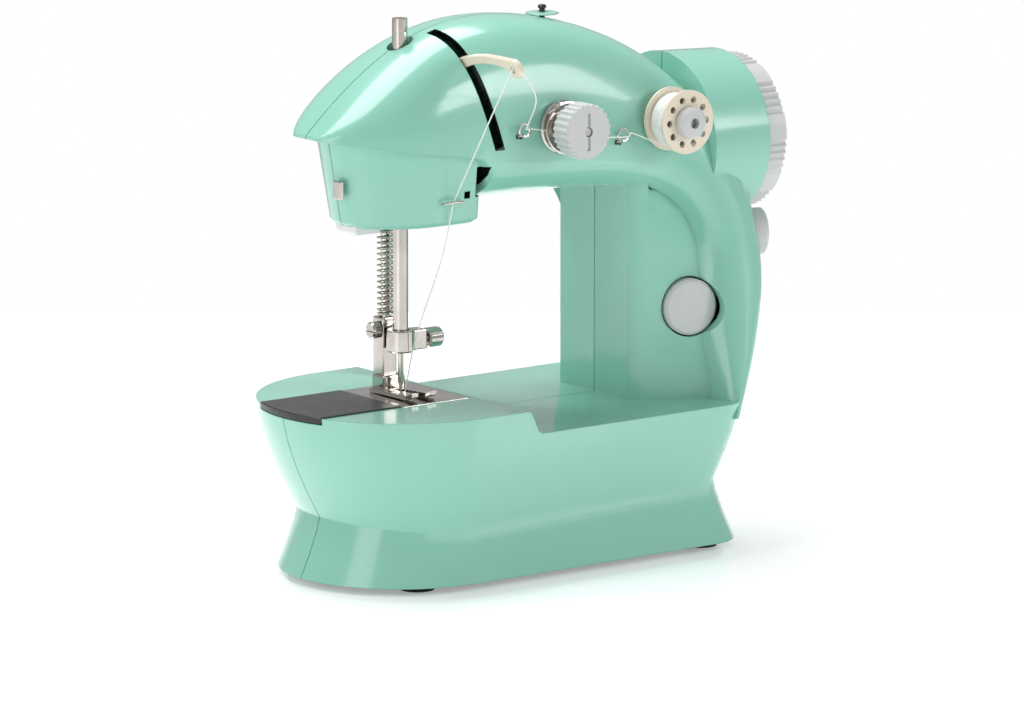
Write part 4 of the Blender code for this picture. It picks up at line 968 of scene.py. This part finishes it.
def thread_run(name, knots):
    """One length of thread through the knots; it rides on nothing unless the caller attaches it."""
    mesh = tube_mesh(name, smooth_path(knots), THREAD_RADIUS, 1)
    run = bpy.data.objects.new(name, mesh)
    bpy.context.scene.collection.objects.link(run)
    mesh.materials.append(THREAD)
    return run


def take_up_eye():
    """The eye of the take-up lever, in millimetres."""
    pivot = Vector((SLOT_MIDDLE[0], 0.0, SLOT_MIDDLE[1]))
    return pivot + SLOT_LEAN @ Vector((0.0, *TAKE_UP_EYE))


def thread_on_arm(left_eye):
    """From the spool, through the right eye and round the discs, to the left eye."""
    spool_x, spool_y, spool_z = centre_of("upper_bobbin")
    right_x, right_y, right_z = centre_of("arm_guide_right")
    disc_x, disc_y, disc_z = centre_of("tension_disc_outer")
    disc_y += 1.3
    knots = [(spool_x - 2.0, spool_y, spool_z - 9.2), (spool_x - 9.0, spool_y + 0.6, spool_z - 7.0)]
    knots.append((right_x + 3.0, right_y - 0.8, right_z + 0.8))
    knots.append((right_x, right_y - 1.5, right_z - 0.2))
    for degrees in (-50, -90, -130, -165):
        a = math.radians(degrees)
        across, up = DISC_GROOVE_RADIUS * math.cos(a), DISC_GROOVE_RADIUS * math.sin(a)
        knots.append((disc_x + across, disc_y, disc_z + up))
    x, y, z = left_eye
    knots += [(x + 3.0, y + 0.9, z - 0.2), left_eye]
    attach(thread_run("thread_from_spool", knots), BODY)


def thread_at_take_up(left_eye, staple):
    """Up from the left eye to the take-up lever, and down to the staple on the head."""
    eye = take_up_eye()
    at_eye = tuple(eye)
    middle = (left_eye[0] - 3.0, (left_eye[1] + eye.y) * 0.5 - 0.8, (left_eye[2] + eye.z) * 0.5)
    rising = [left_eye, middle, (eye.x + 1.6, eye.y, eye.z), at_eye]
    run = thread_run("thread_to_take_up", rising)
    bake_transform(run)
    falling = [at_eye, (eye.x - 1.6, eye.y + 0.3, eye.z - 1.0)]
    start, end = np.array(falling[1]), np.array(staple)
    falling += [tuple(start * (1 - f) + end * f) for f in (0.35, 0.7)] + [staple]
    run = thread_run("thread_from_take_up", falling)
    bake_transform(run)


def thread_at_needle(staple):
    """From the staple down in front of the presser foot and through its slot."""
    x, y, _ = staple
    down = [staple, (x - 1.4, y + 4.3, 112.0), (NEEDLE_X + 0.9, -8.4, 84.0)]
    down += [(NEEDLE_X, -4.6, 70.0), (NEEDLE_X, -2.4, 62.0), (NEEDLE_X, -0.9, 56.4)]
    run = thread_run("thread_to_needle", down)
    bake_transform(run)


def sewing_thread():
    left_x, left_y, left_z = centre_of("arm_guide_left")
    left_eye = (left_x, left_y - 1.4, left_z + 0.4)
    staple_x, staple_y, staple_z = centre_of("needle_thread_guide")
    staple = (staple_x, staple_y + 0.2, staple_z - 0.1)
    thread_on_arm(left_eye)
    thread_at_take_up(left_eye, staple)
    thread_at_needle(staple)


def guide_eyes():
    """The twisted wire eyes on the arm, and dark discs painted on the wall where they go in, as the shade
    of holes.
    """
    for node, tilt in (("arm_guide_left", 0.0), ("arm_guide_right", 0.5)):
        x, _, z = centre_of(node)
        wall = wall_y(x, z)
        points = [(x - 0.6, wall + 0.2, z - 2.6), (x - 0.6, wall - 1.6, z - 2.0)]
        for i in range(29):
            a = math.radians(-70 - 400 * i / 28)
            points.append((x + 1.9 * math.cos(a) + 0.2, wall - 2.2 - 1.5 * i / 28, z + tilt
                + 2.1 * math.sin(a)))
        points += [(x + 0.8, wall - 1.8, z - 2.2), (x + 0.8, wall + 0.2, z - 2.8)]
        eye = piece(node + "_eye", tube_mesh(node + "_eye", points, GUIDE_WIRE, 2), CHROME)
        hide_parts(node)
        # painted shade: dark discs on the wall stand in for the shade inside the holes that the wire goes
        # into
        for i, (dx, dz) in enumerate(((-0.6, -2.6), (0.8, -2.8))):
            spot = (x + dx, wall_y(x + dx, z + dz), z + dz)
            mesh = rod_mesh(f"{node}_hole_{i}", GUIDE_HOLE_RADIUS, -0.8, 0.05, 16)
            painted_hole_shade = piece(f"{node}_hole_{i}", mesh, DARK, BODY, spot, aim((0, -1, 0)))


helpers = bpy.data.collections.new("helpers")
bpy.context.scene.collection.children.link(helpers)
SURFACE = Skin()
bpy.context.scene.view_settings.view_transform = "Standard"
add_camera()
add_floor()
add_light()
dress_nodes()
fine_shells()
presser_spring()
wound_thread()
guide_eyes()
sewing_thread()
